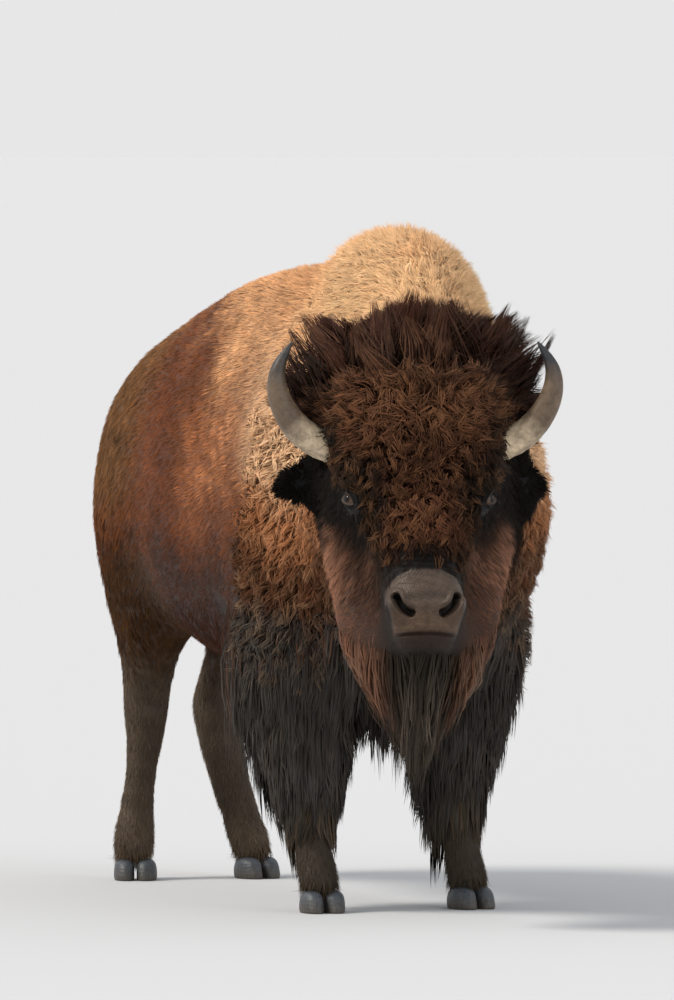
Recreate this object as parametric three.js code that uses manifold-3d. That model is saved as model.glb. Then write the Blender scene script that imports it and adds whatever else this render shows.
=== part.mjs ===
// A bull American bison standing in its winter coat, life size, in millimetres. +Z is up, the body lies
// along Y and faces -Y, and its left side is +X. While the shape is described, y = 0 is the line of the
// shoulders and forelegs; the last lines move the origin to the floor under the middle of its box.
//
// The body is one smooth field of cross-sectioned masses. It is polygonised part by part, and thin flat
// cuts between the parts keep them apart. Horns, eyes, ears, tail and hooves are solids of their own.
import * as THREE from "three";
import Module from "manifold-3d";

const wasm = await Module();
wasm.setup();

// ---- Driving dimensions ----
const HUMP_HEIGHT = 1815; // floor to the top of the hump
const BELLY_HEIGHT = 598; // floor to the belly's coat
const SHOULDER_HALF = 412; // half the width over the shoulders' wool
const RUMP_END = 1590; // how far the rump reaches behind the shoulder line
const FORE_TRACK = 212; // from the middle plane to each foreleg
const HEAD_AT = new THREE.Vector3(-170, -620, 1250); // middle of the skull between the horn roots
const HEAD_TURN = 17.3; // degrees the head turns to the animal's right
const HEAD_PITCH = 56; // degrees the face slopes below the horizon
const HORN_RADIUS = 46; // at the root
const EYE_RADIUS = 21;
const EYE_AT = [173, 31, 196]; // an eye's centre in the head's frame, its distance to one side first
const HOOF_HEIGHT = 62; // from the floor to the hair over the hoof
const CUT = 0.5; // clear width of the cuts between neighbouring parts

const { degToRad, clamp } = THREE.MathUtils;
const v = (x, y, z) => new THREE.Vector3(x, y, z);

// ---- Masses with cross-sections along an axis ----

// Smooth interpolation of every number in a list of stations along "at".
function stationTable(stations) {
  const keys = Object.keys(stations[0]);
  const places = stations.map((s) => s.at);
  const values = stations.flatMap((s) => keys.map((k) => s[k]));
  const curve = new THREE.CubicInterpolant(places, values, keys.length);
  const ends = [places[0], places[places.length - 1]];
  return (at) => {
    const found = curve.evaluate(clamp(at, ...ends));
    return Object.fromEntries(keys.map((k, i) => [k, found[i]]));
  };
}

// A mass along the local z axis. Each station gives the section's centre (x, y), half width (w), and
// reach towards local +y (up) and -y (down). The powers shape the section: 2 is an ellipse, less is more
// pointed and more is boxier. The result is roughly the distance to its surface, negative inside.
function loft(stations, frame = new THREE.Matrix4(), { side = 2, upPower = 2, downPower = 2 } = {}) {
  const table = stationTable(stations);
  const inverse = frame.clone().invert();
  const first = stations[0].at;
  const last = stations[stations.length - 1].at;
  const p = new THREE.Vector3();
  return (point) => {
    p.copy(point).applyMatrix4(inverse);
    const s = table(p.z);
    const across = Math.abs(p.x - (s.x ?? 0)) / s.w;
    const rise = p.y - (s.y ?? 0);
    const reach = rise > 0 ? s.up : s.down;
    const power = rise > 0 ? upPower : downPower;
    const along = Math.abs(rise) / reach;
    const value = across ** side + along ** power - 1;
    const slopeX = (side * across ** (side - 1)) / s.w;
    const slopeY = (power * along ** (power - 1)) / reach;
    const slope = Math.max(Math.hypot(slopeX, slopeY), 1 / Math.max(s.w, reach));
    const past = Math.max(first - p.z, p.z - last);
    return past > 0 ? Math.hypot(past, Math.max(value / slope, 0)) : Math.max(value / slope, past);
  };
}

function ellipsoid(centre, radii, frame = new THREE.Matrix4()) {
  const inverse = frame.clone().invert();
  const p = new THREE.Vector3();
  const r = new THREE.Vector3(...radii);
  const c = new THREE.Vector3(...centre);
  const least = Math.min(...radii);
  return (point) => {
    p.copy(point).applyMatrix4(inverse).sub(c).divide(r);
    return (p.length() - 1) * least;
  };
}

// The union of masses, rounded where they meet over about the blend's width.
const blended = (blend, ...fields) => (point) => {
  let found = Infinity;
  for (const field of fields) {
    const value = field(point);
    const near = Math.max(blend - Math.abs(found - value), 0) / blend;
    found = Math.min(found, value) - (Number.isFinite(found) ? (near * near * blend) / 4 : 0);
  }
  return found;
};

// A frame whose local z runs along the body to the tail, x to the left and y up.
const ALONG_BODY = new THREE.Matrix4().makeBasis(
  new THREE.Vector3(-1, 0, 0),
  new THREE.Vector3(0, 0, 1),
  new THREE.Vector3(0, 1, 0),
);

// The head's frame: local z runs down the face to the muzzle, y out of the forehead, x to one side.
function headFrame() {
  const turn = degToRad(HEAD_TURN);
  const pitch = degToRad(HEAD_PITCH);
  const heading = new THREE.Vector3(-Math.sin(turn), -Math.cos(turn), 0);
  const up = new THREE.Vector3(0, 0, 1);
  const downFace = heading.clone().multiplyScalar(Math.cos(pitch)).addScaledVector(up, -Math.sin(pitch));
  const outOfFace = heading.clone().multiplyScalar(Math.sin(pitch)).addScaledVector(up, Math.cos(pitch));
  const side = outOfFace.clone().cross(downFace);
  return new THREE.Matrix4().makeBasis(side, outOfFace, downFace).setPosition(HEAD_AT);
}
const HEAD = headFrame();

// The same place, level: local x to the animal's left, y back along the head's heading, z up.
const HEAD_LEVEL = new THREE.Matrix4().makeRotationZ(-degToRad(HEAD_TURN)).setPosition(HEAD_AT);

// ---- The body ----
const trunkMass = loft(
  [
    { at: -540, y: 1080, w: 60, up: 110, down: 120 },
    { at: -450, y: 1070, w: 180, up: 270, down: 260 },
    { at: -320, y: 1050, w: 290, up: 420, down: 380 },
    { at: -160, y: 1040, w: 372, up: 540, down: 450 },
    { at: 0, y: 1030, w: SHOULDER_HALF, up: 620, down: 470 }, // forelegs
    { at: 200, y: 1030, w: 400, up: 636, down: 440 },
    { at: 420, y: 1030, w: 378, up: 648, down: 1030 - BELLY_HEIGHT },
    { at: 700, y: 1040, w: 362, up: 628, down: 1040 - BELLY_HEIGHT }, // ribs
    { at: 960, y: 1065, w: 328, up: 560, down: 446 }, // loin
    { at: 1180, y: 1100, w: 292, up: 462, down: 369 }, // hips
    { at: 1360, y: 1110, w: 250, up: 380, down: 320 },
    { at: 1500, y: 1110, w: 186, up: 280, down: 260 },
    { at: RUMP_END, y: 1100, w: 60, up: 110, down: 110 },
  ],
  ALONG_BODY,
  { side: 1.95, upPower: 1.9, downPower: 2.2 },
);

// The hump stands over the shoulders as a narrow ridge that runs out along the back.
const humpMass = blended(
  120,
  ellipsoid([0, -110, HUMP_HEIGHT - 325], [215, 385, 325]),
  ellipsoid([0, 340, 1440], [140, 560, 225]),
);

const haunches = [-1, 1].map((side) => ellipsoid([side * 150, 1290, 1020], [130, 240, 350]));

// The tuft of long hair under the belly.
const bellyTuft = ellipsoid([0, 700, 610], [58, 140, 84]);

// Neck, mane and throat, from the shoulders round to the head.
const neckMass = blended(
  90,
  ellipsoid([6, -310, 1080], [326, 320, 420]),
  ellipsoid([-110, -500, 1110], [280, 250, 350]),
  ellipsoid([-90, -430, 1350], [210, 240, 250]),
);

// Long hair that hangs between the forelegs from the brisket.
const LEVEL = new THREE.Matrix4().makeBasis(
  new THREE.Vector3(1, 0, 0),
  new THREE.Vector3(0, -1, 0),
  new THREE.Vector3(0, 0, 1),
);
const brisketMass = loft(
  [
    { at: 360, x: -10, y: 110, w: 26, up: 70, down: 70 },
    { at: 430, x: -10, y: 130, w: 62, up: 130, down: 140 },
    { at: 560, x: -10, y: 160, w: 96, up: 200, down: 230 },
    { at: 720, x: -10, y: 190, w: 190, up: 260, down: 300 },
    { at: 900, x: 0, y: 200, w: 240, up: 290, down: 310 },
  ],
  LEVEL,
);

// ---- The head ----
const skullMass = loft(
  [
    { at: -160, w: 110, up: 30, down: 70 },
    { at: -100, w: 180, up: 75, down: 130 },
    { at: -10, w: 212, up: 104, down: 190 },
    { at: 90, w: 206, up: 116, down: 240 },
    { at: 175, w: 190, up: 116, down: 258 }, // eyes and jaw angle
    { at: 260, w: 160, up: 110, down: 250 },
    { at: 345, w: 126, up: 102, down: 226 },
    { at: 425, w: 108, up: 92, down: 200 },
    { at: 500, w: 107, up: 82, down: 176 }, // nostrils
    { at: 560, w: 97, up: 60, down: 152 },
    { at: 602, w: 70, up: 24, down: 108 },
    { at: 624, w: 34, up: 4, down: 70 },
  ],
  HEAD,
  { side: 2.4, upPower: 2.3, downPower: 2 },
);

// Thick wool over the forehead and the brows.
const foreheadWool = blended(
  40,
  ellipsoid([0, 72, 30], [234, 98, 205], HEAD),
  ellipsoid([0, 76, 200], [112, 58, 160], HEAD),
);

// The crown of long hair between and behind the horns: one mass in the middle and one on each side.
const bonnetMass = blended(
  80,
  ellipsoid([0, 20, 160], [240, 190, 205], HEAD_LEVEL),
  ellipsoid([222, 96, 122], [132, 118, 168], HEAD_LEVEL),
  ellipsoid([-218, 96, 118], [132, 118, 165], HEAD_LEVEL),
);

// Cheek hair runs down both sides of the jaw into the beard, a wedge that narrows to the beard's tip. Its
// stations are heights from the middle of the skull.
const BEARD_FRAME = HEAD_LEVEL.clone().multiply(LEVEL);
const beardMass = loft(
  [
    { at: -848, x: -14, y: 150, w: 22, up: 18, down: 22 },
    { at: -800, x: -12, y: 150, w: 54, up: 40, down: 46 },
    { at: -720, x: -6, y: 150, w: 96, up: 64, down: 80 },
    { at: -630, x: 0, y: 148, w: 138, up: 90, down: 116 },
    { at: -540, x: 0, y: 120, w: 184, up: 110, down: 150 },
    { at: -440, x: 4, y: 70, w: 226, up: 110, down: 160 },
    { at: -320, x: 6, y: 30, w: 252, up: 110, down: 170 },
    { at: -180, x: 6, y: -20, w: 244, up: 100, down: 160 },
  ],
  BEARD_FRAME,
  { side: 2.1 },
);

// ---- The legs ----
// A leg's stations go up from the floor; y is counted forward from the shoulder line and x to the
// animal's left.
const leg = (stations) => loft(stations, LEVEL, { side: 2.1 });

// side is 1 for the left legs and -1 for the right ones.
const foreleg = (side) => {
  const x = side * FORE_TRACK;
  return leg([
    { at: 20, x, y: 96, w: 66, up: 60, down: 62 },
    { at: 75, x, y: 84, w: 66, up: 58, down: 62 },
    { at: 125, x, y: 54, w: 66, up: 56, down: 62 }, // fetlock
    { at: 180, x, y: 28, w: 61, up: 52, down: 58 },
    { at: 250, x, y: 20, w: 61, up: 54, down: 60 }, // cannon
    { at: 330, x, y: 18, w: 69, up: 62, down: 70 }, // knee
    { at: 400, x, y: 18, w: 70, up: 66, down: 80 },
    { at: 560, x, y: 10, w: 92, up: 95, down: 130 }, // forearm
    { at: 760, x: x * 0.92, y: 0, w: 130, up: 150, down: 200 },
    { at: 900, x: x * 0.85, y: -10, w: 140, up: 180, down: 220 },
  ]);
};

// The long hair of the foreleg, from the elbow to below the knee, fullest behind and inside the leg. The
// right leg's is fuller low down, outside and behind.
const chaps = (side) => {
  const fuller = side < 0 ? 1 : 0;
  return loft(
    [
      { at: 172, x: side * (138 + 22 * fuller), y: -84, w: 24 + 8 * fuller, up: 24, down: 30 + 30 * fuller },
      { at: 235, x: side * (150 + 24 * fuller), y: -70, w: 66 + 16 * fuller, up: 66, down: 92 + 56 * fuller },
      { at: 330, x: side * (184 + 14 * fuller), y: -46, w: 116 + 12 * fuller, up: 112, down: 150 + 48 * fuller },
      { at: 440, x: side * (216 + 4 * fuller), y: -26, w: 158 + 6 * fuller, up: 156, down: 190 + 24 * fuller },
      { at: 600, x: side * 236, y: -10, w: 182, up: 186, down: 224 },
      { at: 760, x: side * 234, y: 0, w: 180, up: 210, down: 240 },
      { at: 900, x: side * 210, y: 0, w: 156, up: 210, down: 230 },
    ],
    LEVEL,
    { side: 2.2 },
  );
};

const rightHindleg = leg([
  { at: 20, x: -176, y: -1340, w: 62, up: 62, down: 58 },
  { at: 75, x: -174, y: -1352, w: 62, up: 58, down: 58 },
  { at: 125, x: -168, y: -1370, w: 65, up: 54, down: 60 }, // fetlock
  { at: 180, x: -156, y: -1382, w: 55, up: 48, down: 54 },
  { at: 290, x: -138, y: -1394, w: 47, up: 50, down: 54 }, // cannon
  { at: 400, x: -122, y: -1404, w: 57, up: 62, down: 62 },
  { at: 490, x: -120, y: -1404, w: 67, up: 84, down: 70 }, // hock
  { at: 590, x: -130, y: -1364, w: 76, up: 124, down: 92 },
  { at: 700, x: -142, y: -1310, w: 86, up: 172, down: 146 }, // gaskin
  { at: 850, x: -150, y: -1265, w: 104, up: 206, down: 212 },
  { at: 1040, x: -146, y: -1240, w: 130, up: 210, down: 240 }, // thigh
]);

// The left hind foot stands further under the body, so its cannon slopes forward.
const leftHindleg = leg([
  { at: 20, x: 162, y: -1290, w: 62, up: 62, down: 58 },
  { at: 75, x: 158, y: -1308, w: 62, up: 58, down: 58 },
  { at: 125, x: 152, y: -1332, w: 65, up: 56, down: 64 }, // fetlock
  { at: 180, x: 142, y: -1362, w: 60, up: 54, down: 62 },
  { at: 290, x: 128, y: -1416, w: 62, up: 60, down: 66 }, // cannon
  { at: 400, x: 122, y: -1462, w: 69, up: 72, down: 74 },
  { at: 490, x: 122, y: -1483, w: 73, up: 91, down: 74 }, // hock
  { at: 590, x: 132, y: -1423, w: 75, up: 119, down: 99 },
  { at: 700, x: 148, y: -1334, w: 86, up: 166, down: 152 }, // gaskin
  { at: 850, x: 152, y: -1262, w: 106, up: 206, down: 216 },
  { at: 1040, x: 146, y: -1240, w: 130, up: 210, down: 240 }, // thigh
]);

const headField = blended(50, skullMass, foreheadWool, bonnetMass, beardMass);
const hindField = blended(80, ...haunches, rightHindleg, leftHindleg);
const torsoField = blended(100, blended(60, trunkMass, bellyTuft), humpMass, neckMass, hindField);
const foreField = blended(60, brisketMass, ...[-1, 1].flatMap((s) => [foreleg(s), chaps(s)]));
const bodyField = blended(70, torsoField, foreField, headField);

// ---- From field to solid ----

// Polygonises a field in a box: one vertex for each cell that the surface crosses, moved onto the
// surface, and one quad round each grid edge that it crosses. The box's border counts as outside, which
// closes the solid. A cell has its own size along x, y and z.
function polygonise(field, box, cell) {
  const n = box.getSize(new THREE.Vector3()).divide(cell).toArray().map((cells) => Math.ceil(cells) + 3);
  const origin = box.min.clone().sub(cell);
  const index = (i, j, k) => i + n[0] * (j + n[1] * k);
  const values = new Float32Array(n[0] * n[1] * n[2]);
  const p = new THREE.Vector3();
  for (let k = 0; k < n[2]; k++)
    for (let j = 0; j < n[1]; j++)
      for (let i = 0; i < n[0]; i++) {
        p.set(i, j, k).multiply(cell).add(origin);
        const border = [i, j, k].some((v, axis) => v === 0 || v === n[axis] - 1);
        const value = field(p);
        values[index(i, j, k)] = border ? Math.max(value, cell.x / 3) : value;
      }

  const CORNERS = [0, 1, 2, 3, 4, 5, 6, 7].map((c) => [c & 1, (c >> 1) & 1, c >> 2]);
  const EDGES = CORNERS.flatMap((_, a) => [1, 2, 4].filter((bit) => !(a & bit)).map((bit) => [a, a | bit]));
  const vertexOf = new Map();
  const positions = [];
  const inside = (i) => values[i] < 0;
  for (let k = 0; k < n[2] - 1; k++)
    for (let j = 0; j < n[1] - 1; j++)
      for (let i = 0; i < n[0] - 1; i++) {
        const at = CORNERS.map(([a, b, c]) => index(i + a, j + b, k + c));
        const crossed = EDGES.filter(([a, b]) => inside(at[a]) !== inside(at[b]));
        if (!crossed.length) continue;
        const middle = new THREE.Vector3();
        for (const [a, b] of crossed) {
          const share = values[at[a]] / (values[at[a]] - values[at[b]]);
          const from = new THREE.Vector3(...CORNERS[a]);
          middle.add(from.lerp(new THREE.Vector3(...CORNERS[b]), share));
        }
        middle.divideScalar(crossed.length).add(p.set(i, j, k)).multiply(cell).add(origin);
        vertexOf.set(at[0], positions.length / 3);
        positions.push(...settled(middle, field, box, cell));
      }

  // The quad round the grid edge from (i, j, k) along an axis joins the four cells that share the edge.
  const faces = [];
  const steps = [1, n[0], n[0] * n[1]];
  for (let k = 0; k < n[2] - 1; k++)
    for (let j = 0; j < n[1] - 1; j++)
      for (let i = 0; i < n[0] - 1; i++)
        for (let axis = 0; axis < 3; axis++) {
          const others = [i, j, k].filter((_, n) => n !== axis);
          const a = index(i, j, k);
          const b = a + steps[axis];
          if (others.includes(0) || inside(a) === inside(b)) continue;
          const u = steps[(axis + 1) % 3];
          const v = steps[(axis + 2) % 3];
          const quad = [a - u - v, a - v, a, a - u].map((c) => vertexOf.get(c));
          if (!inside(a)) quad.reverse();
          faces.push(...shorterSplit(quad, positions));
        }
  return { positions, faces };
}

// Moves a vertex onto the field's surface, unless it lies on the box's border.
function settled(start, field, box, cell) {
  if (!box.containsPoint(start)) return start.toArray();
  const e = cell.x / 50;
  const q = new THREE.Vector3();
  const point = start.clone();
  for (let step = 0; step < 2; step++) {
    const value = field(point);
    const slope = ["x", "y", "z"].map((axis) => {
      q.copy(point)[axis] += e;
      return (field(q) - value) / e;
    });
    const gradient = new THREE.Vector3(...slope);
    const length = Math.max(gradient.length(), 0.3);
    const move = gradient.multiplyScalar(-value / (length * length));
    if (move.length() < cell.x / 3) point.add(move);
  }
  return point.toArray();
}

// Two triangles of a quad, cut along its shorter diagonal.
function shorterSplit([a, b, c, d], positions) {
  const apart = (i, j) => Math.hypot(...[0, 1, 2].map((n) => positions[3 * i + n] - positions[3 * j + n]));
  return apart(a, c) < apart(b, d) ? [a, b, c, a, c, d] : [a, b, d, b, c, d];
}

const solidOf = (positions, faces) =>
  new wasm.Manifold(
    new wasm.Mesh({
      numProp: 3,
      vertProperties: new Float32Array(positions),
      triVerts: new Uint32Array(faces),
    }),
  );

function geometryFromSolid(solid) {
  const mesh = solid.getMesh();
  const flat = new THREE.BufferGeometry();
  flat.setAttribute("position", new THREE.BufferAttribute(mesh.vertProperties, 3));
  flat.setIndex(new THREE.BufferAttribute(mesh.triVerts, 1));
  flat.computeVertexNormals();
  return flat;
}

// A closed solid through rings of points, with a fan from each end ring to its middle.
function ringSolid(rings) {
  const sides = rings[0].length;
  const middle = (ring) => ring.reduce((sum, p) => sum.add(p), new THREE.Vector3()).divideScalar(sides);
  const points = [...rings.flat(), middle(rings[0]), middle(rings[rings.length - 1])];
  const last = (rings.length - 1) * sides;
  const faces = [];
  for (let i = 0; i < sides; i++) {
    const next = (i + 1) % sides;
    for (let from = 0; from < last; from += sides) {
      faces.push(from + i, from + next, from + sides + next, from + i, from + sides + next, from + sides + i);
    }
    faces.push(points.length - 2, next, i, points.length - 1, last + i, last + next);
  }
  return solidOf(points.flatMap((p) => p.toArray()), faces);
}

// A round solid along a smooth curve. Each stop is [x, y, z, radius] in the frame. It can be grown all
// round and at its root, for the socket that another one sits in.
function taperedSweep(stops, frame, rings, sides, grown = 0) {
  const curve = new THREE.CatmullRomCurve3(stops.map(([x, y, z]) => v(x, y, z).applyMatrix4(frame)));
  const radii = new THREE.CubicInterpolant(stops.map((_, i) => i), stops.map((stop) => stop[3]), 1);
  const frames = curve.computeFrenetFrames(rings - 1);
  const along = frames.tangents.map((_, i) => i / (rings - 1));
  return ringSolid(
    along.map((t, i) => {
      const radius = radii.evaluate(curve.getUtoTmapping(t) * (stops.length - 1))[0] + grown;
      const at = curve.getPointAt(t).addScaledVector(frames.tangents[i], i === 0 ? -grown : 0);
      return Array.from({ length: sides }, (_, k) => {
        const angle = (2 * Math.PI * k) / sides;
        const out = frames.normals[i].clone().multiplyScalar(Math.cos(angle) * radius);
        return out.addScaledVector(frames.binormals[i], Math.sin(angle) * radius).add(at);
      });
    }),
  );
}

// ---- Horns, eyes, ears and tail ----
// side is 1 for the left one. Each takes the width to grow by, which makes the socket that it sits in.
const hornStops = [
  [168, 24, -24, HORN_RADIUS],
  [232, 12, -8, HORN_RADIUS - 1],
  [292, -8, 24, HORN_RADIUS - 5],
  [340, -26, 86, HORN_RADIUS - 11],
  [360, -36, 140, HORN_RADIUS - 17],
  [357, -38, 194, HORN_RADIUS - 26],
  [337, -34, 232, HORN_RADIUS - 35],
  [316, -28, 262, 3],
];
const horn = (side, grown) =>
  taperedSweep(hornStops.map(([x, ...rest]) => [side * x, ...rest]), HEAD_LEVEL, 11, 10, grown);

const eye = (side, grown) => {
  const [apart, ...rest] = EYE_AT;
  const centre = v(side * apart, ...rest).applyMatrix4(HEAD);
  const sphere = (p) => p.distanceTo(centre) - EYE_RADIUS;
  return polygonisedSolid(sphere, centre, EYE_RADIUS + 4, v(10, 10, 10), 1 + (1.2 * grown) / EYE_RADIUS);
};

// A rounded hairy ear that stands out sideways and droops, with a shallow cup in front.
const ear = (side, grown) => {
  const droop = new THREE.Matrix4().makeRotationFromEuler(new THREE.Euler(0.1, side * 0.2, side * -0.3, "ZYX"));
  const frame = HEAD_LEVEL.clone().multiply(droop.setPosition(side * 296, 94, -110));
  const leaf = ellipsoid([0, 0, 0], [86, 32, 64], frame);
  const root = ellipsoid([side * -80, 6, 8], [60, 30, 34], frame);
  const cup = ellipsoid([side * 16, -44, -4], [58, 30, 38], frame);
  const whole = blended(20, leaf, root);
  const centre = v(side * -20, 0, 0).applyMatrix4(frame);
  return polygonisedSolid((p) => Math.max(whole(p), -cup(p)), centre, 150, v(25, 25, 25), 1 + grown / 30);
};

const tailStops = [
  [0, 1450, 1410, 38],
  [0, 1530, 1392, 38],
  [0, 1594, 1330, 34],
  [0, 1620, 1240, 29],
  [0, 1626, 1120, 26],
  [0, 1624, 1000, 23],
];
const tail = (grown) => taperedSweep(tailStops, new THREE.Matrix4(), 9, 8, grown);
const tuftStops = [
  [0, 1624, 999, 23],
  [-2, 1624, 950, 38],
  [-3, 1622, 880, 46],
  [-4, 1618, 800, 40],
  [-4, 1612, 720, 8],
];
const tailTuft = taperedSweep(tuftStops, new THREE.Matrix4(), 7, 8);

// A field's solid within reach of a centre, scaled about the centre.
function polygonisedSolid(field, centre, reach, cell, scale) {
  const box = new THREE.Box3().setFromCenterAndSize(centre, v(2 * reach, 2 * reach, 2 * reach));
  const { positions, faces } = polygonise(field, box, cell);
  const middle = centre.toArray();
  const scaled = positions.map((value, i) => middle[i % 3] + (value - middle[i % 3]) * scale);
  return solidOf(scaled, faces);
}

// ---- Feet ----
// Where each hoof stands and how far its toes turn out, in degrees.
const feet = {
  fore_left: { x: FORE_TRACK, y: -96, out: 8, side: 1 },
  fore_right: { x: -FORE_TRACK, y: -96, out: 8, side: -1 },
  hind_left: { x: 162, y: 1290, out: 8, side: 1 },
  hind_right: { x: -176, y: 1340, out: 22, side: -1 },
};
const footFrame = ({ x, y, out, side }) =>
  new THREE.Matrix4().makeRotationZ(side * degToRad(out)).setPosition(x, y, 0);

// One of the two claws of a cloven hoof: rounded outside, flat against the cleft, with the toe sloping
// back.
const CLEFT = 5;
function claw(foot, outward) {
  const frame = footFrame(foot);
  const levels = [
    { z: 0, half: 59, toe: 66, heel: 54 },
    { z: 14, half: 62, toe: 64, heel: 58 },
    { z: HOOF_HEIGHT - CUT, half: 57, toe: 44, heel: 57 },
  ];
  const sides = 12;
  return ringSolid(
    levels.map(({ z, half, toe, heel }) =>
      Array.from({ length: sides }, (_, k) => {
        const angle = (2 * Math.PI * k) / sides;
        const across = CLEFT / 2 + (half - CLEFT / 2) * Math.max(0, 0.42 + 0.58 * Math.cos(angle));
        const back = outward * Math.sin(angle);
        return new THREE.Vector3(outward * across, back * (back < 0 ? toe : heel), z).applyMatrix4(frame);
      }),
    ),
  );
}

// The two small dewclaws behind the fetlock.
const dewclaws = (foot) =>
  [-1, 1].map((outward) =>
    taperedSweep(
      [
        [outward * 26, 52, 150, 20],
        [outward * 30, 84, 122, 17],
        [outward * 32, 98, 96, 8],
      ],
      footFrame(foot),
      3,
      6,
    ),
  );

// ---- The cuts ----
// A cut is a plane with a named side. keep(cut) keeps the side that its normal points to, beyond half the
// gap.
const plane = (normal, point) => {
  const n = v(...normal).normalize();
  return { n, offset: n.dot(point) };
};
const keep = ({ n, offset }) => ({ n: n.toArray(), offset: offset + CUT / 2 });
const drop = ({ n, offset }) => ({ n: n.clone().negate().toArray(), offset: -offset + CUT / 2 });
const backOfHead = new THREE.Vector3().setFromMatrixColumn(HEAD_LEVEL, 1);

const behindHead = plane([backOfHead.x, backOfHead.y, 0.1], v(-150, -525, 1150));
const underChin = plane([0, 0, -1], v(0, 0, 700));
const overBrow = plane([0.35 * backOfHead.x, 0.35 * backOfHead.y, 1], v(-170, -620, 1372));
const beforeShoulders = plane([0.1, -1, 0.12], v(0, -265, 1100));
const behindShoulders = plane([0, 1, 0], v(0, 380, 0));
const overHips = plane([0, 1, 0], v(0, 1030, 0));
const underShoulders = plane([0, 0, -1], v(0, 0, 690));
const atKnee = plane([0, 0, -1], v(0, 0, 345));
const chestLeft = plane([1, 0, 0], v(80, 0, 0));
const chestRight = plane([-1, 0, 0], v(-80, 0, 0));
const underThigh = plane([0, 0, -1], v(0, 0, 770));
const atHock = plane([0, 0, -1], v(0, 0, 545));
const middle = plane([1, 0, 0], v(0, 0, 0));
const coronet = plane([0, 0, 1], v(0, 0, HOOF_HEIGHT));

// The body's field inside a box, as a solid.
function bodyBlock(low, high, cell) {
  const { positions, faces } = polygonise(bodyField, new THREE.Box3(v(...low), v(...high)), cell);
  return solidOf(positions, faces);
}

// A part of a block: what is left of it on the given sides of the cuts, as one piece.
function part(block, ...sides) {
  const cut = sides.reduce((solid, { n, offset }) => solid.trimByPlane(n, offset), block);
  return cut.decompose().sort((a, b) => b.volume() - a.volume())[0];
}

const coats = {
  hump: { color: 0xb98a5a, roughness: 0.95 },
  flank: { color: 0x6a4630, roughness: 0.9 },
  mane: { color: 0x7a4228, roughness: 0.95 },
  dark: { color: 0x2a201c, roughness: 0.95 },
  leg: { color: 0x3c2b22, roughness: 0.85 },
  hoof: { color: 0x4a4c50, roughness: 0.5 },
  horn: { color: 0x8f8672, roughness: 0.45 },
  eye: { color: 0x140c08, roughness: 0.08 },
};
const materials = {};
for (const [name, look] of Object.entries(coats)) {
  materials[name] = new THREE.MeshStandardMaterial({ ...look, metalness: 0 });
}

const bison = new THREE.Group();
function add(name, solid, coat) {
  const mesh = new THREE.Mesh(geometryFromSolid(solid), materials[coat]);
  mesh.name = name;
  bison.add(mesh);
}

const torso = bodyBlock([-640, -900, 560], [520, 1720, 1900], v(98, 116, 98));
const face = bodyBlock([-640, -1120, 560], [300, -340, 1720], v(64, 64, 64));

// The ears, eyes, horns and tail sit in sockets that are wider than they are.
const sockets = [-1, 1].flatMap((side) => [horn(side, CUT), ear(side, 2 * CUT), eye(side, CUT)]);
const socketed = (solid) => sockets.reduce((left, socket) => left.subtract(socket), solid);

add("shoulders", part(torso, drop(beforeShoulders), drop(behindShoulders), drop(underShoulders)), "hump");
add("barrel", part(torso, keep(behindShoulders), drop(overHips)), "flank");
add("hindquarters", part(torso, keep(overHips), drop(underThigh)).subtract(tail(CUT)), "flank");
add("neck", socketed(part(torso, keep(beforeShoulders), keep(behindHead), drop(underShoulders))), "mane");
add("head", socketed(part(face, drop(behindHead), drop(underChin), drop(overBrow))), "dark");
add("bonnet", socketed(part(face, keep(overBrow), drop(behindHead))), "dark");

const chin = bodyBlock([-460, -1010, 340], [40, -560, 800], v(42, 42, 52));
add("beard", part(chin, keep(underChin), drop(behindHead)), "dark");

const chest = bodyBlock([-520, -620, 280], [520, 460, 800], v(68, 74, 70));
const thighs = bodyBlock([-360, 960, 480], [360, 1700, 830], v(60, 66, 66));
const chestSides = [keep(underShoulders), drop(behindShoulders), keep(behindHead)];
add("chest_mane", part(chest, ...chestSides, drop(chestLeft), drop(chestRight)), "dark");

for (const [name, foot] of Object.entries(feet)) {
  const left = foot.side > 0;
  const fore = name.startsWith("fore");
  const half = fore ? keep(left ? chestLeft : chestRight) : (left ? keep : drop)(middle);
  const low = [left ? -60 : -480, fore ? -320 : 1150, -60];
  const high = [left ? 480 : 60, fore ? 320 : 1640, fore ? 400 : 600];
  const shank = bodyBlock(low, high, v(36, 38, 72));
  const lower = part(shank, half, keep(fore ? atKnee : atHock), keep(coronet));
  const upperSides = fore
    ? [...chestSides, half, drop(atKnee)]
    : [keep(underThigh), keep(overHips), half, drop(atHock)];
  const upper = part(fore ? chest : thighs, ...upperSides);
  const [end, sideName] = name.split("_");
  add(`${end}leg_upper_${sideName}`, upper, "dark");
  add(`${end}leg_lower_${sideName}`, dewclaws(foot).reduce((whole, nub) => whole.add(nub), lower), "leg");
  add(`hoof_${name}_outer`, claw(foot, foot.side), "hoof");
  add(`hoof_${name}_inner`, claw(foot, -foot.side), "hoof");
}

for (const [side, name] of [
  [1, "left"],
  [-1, "right"],
]) {
  add(`horn_${name}`, horn(side, 0), "horn");
  add(`eye_${name}`, eye(side, 0), "eye");
  add(`ear_${name}`, ear(side, 0), "dark");
}
add("tail", tail(0).trimByPlane([0, 0, 1], 1000 + CUT / 2), "flank");
add("tail_tuft", tailTuft.trimByPlane([0, 0, -1], CUT / 2 - 1000), "dark");

// The origin goes to the floor under the middle of the whole box.
const box = new THREE.Box3().setFromObject(bison);
const centre = box.getCenter(new THREE.Vector3());
for (const mesh of bison.children) mesh.geometry.translate(-centre.x, -centre.y, 0);

export default bison;
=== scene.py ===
import itertools
import math

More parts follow.
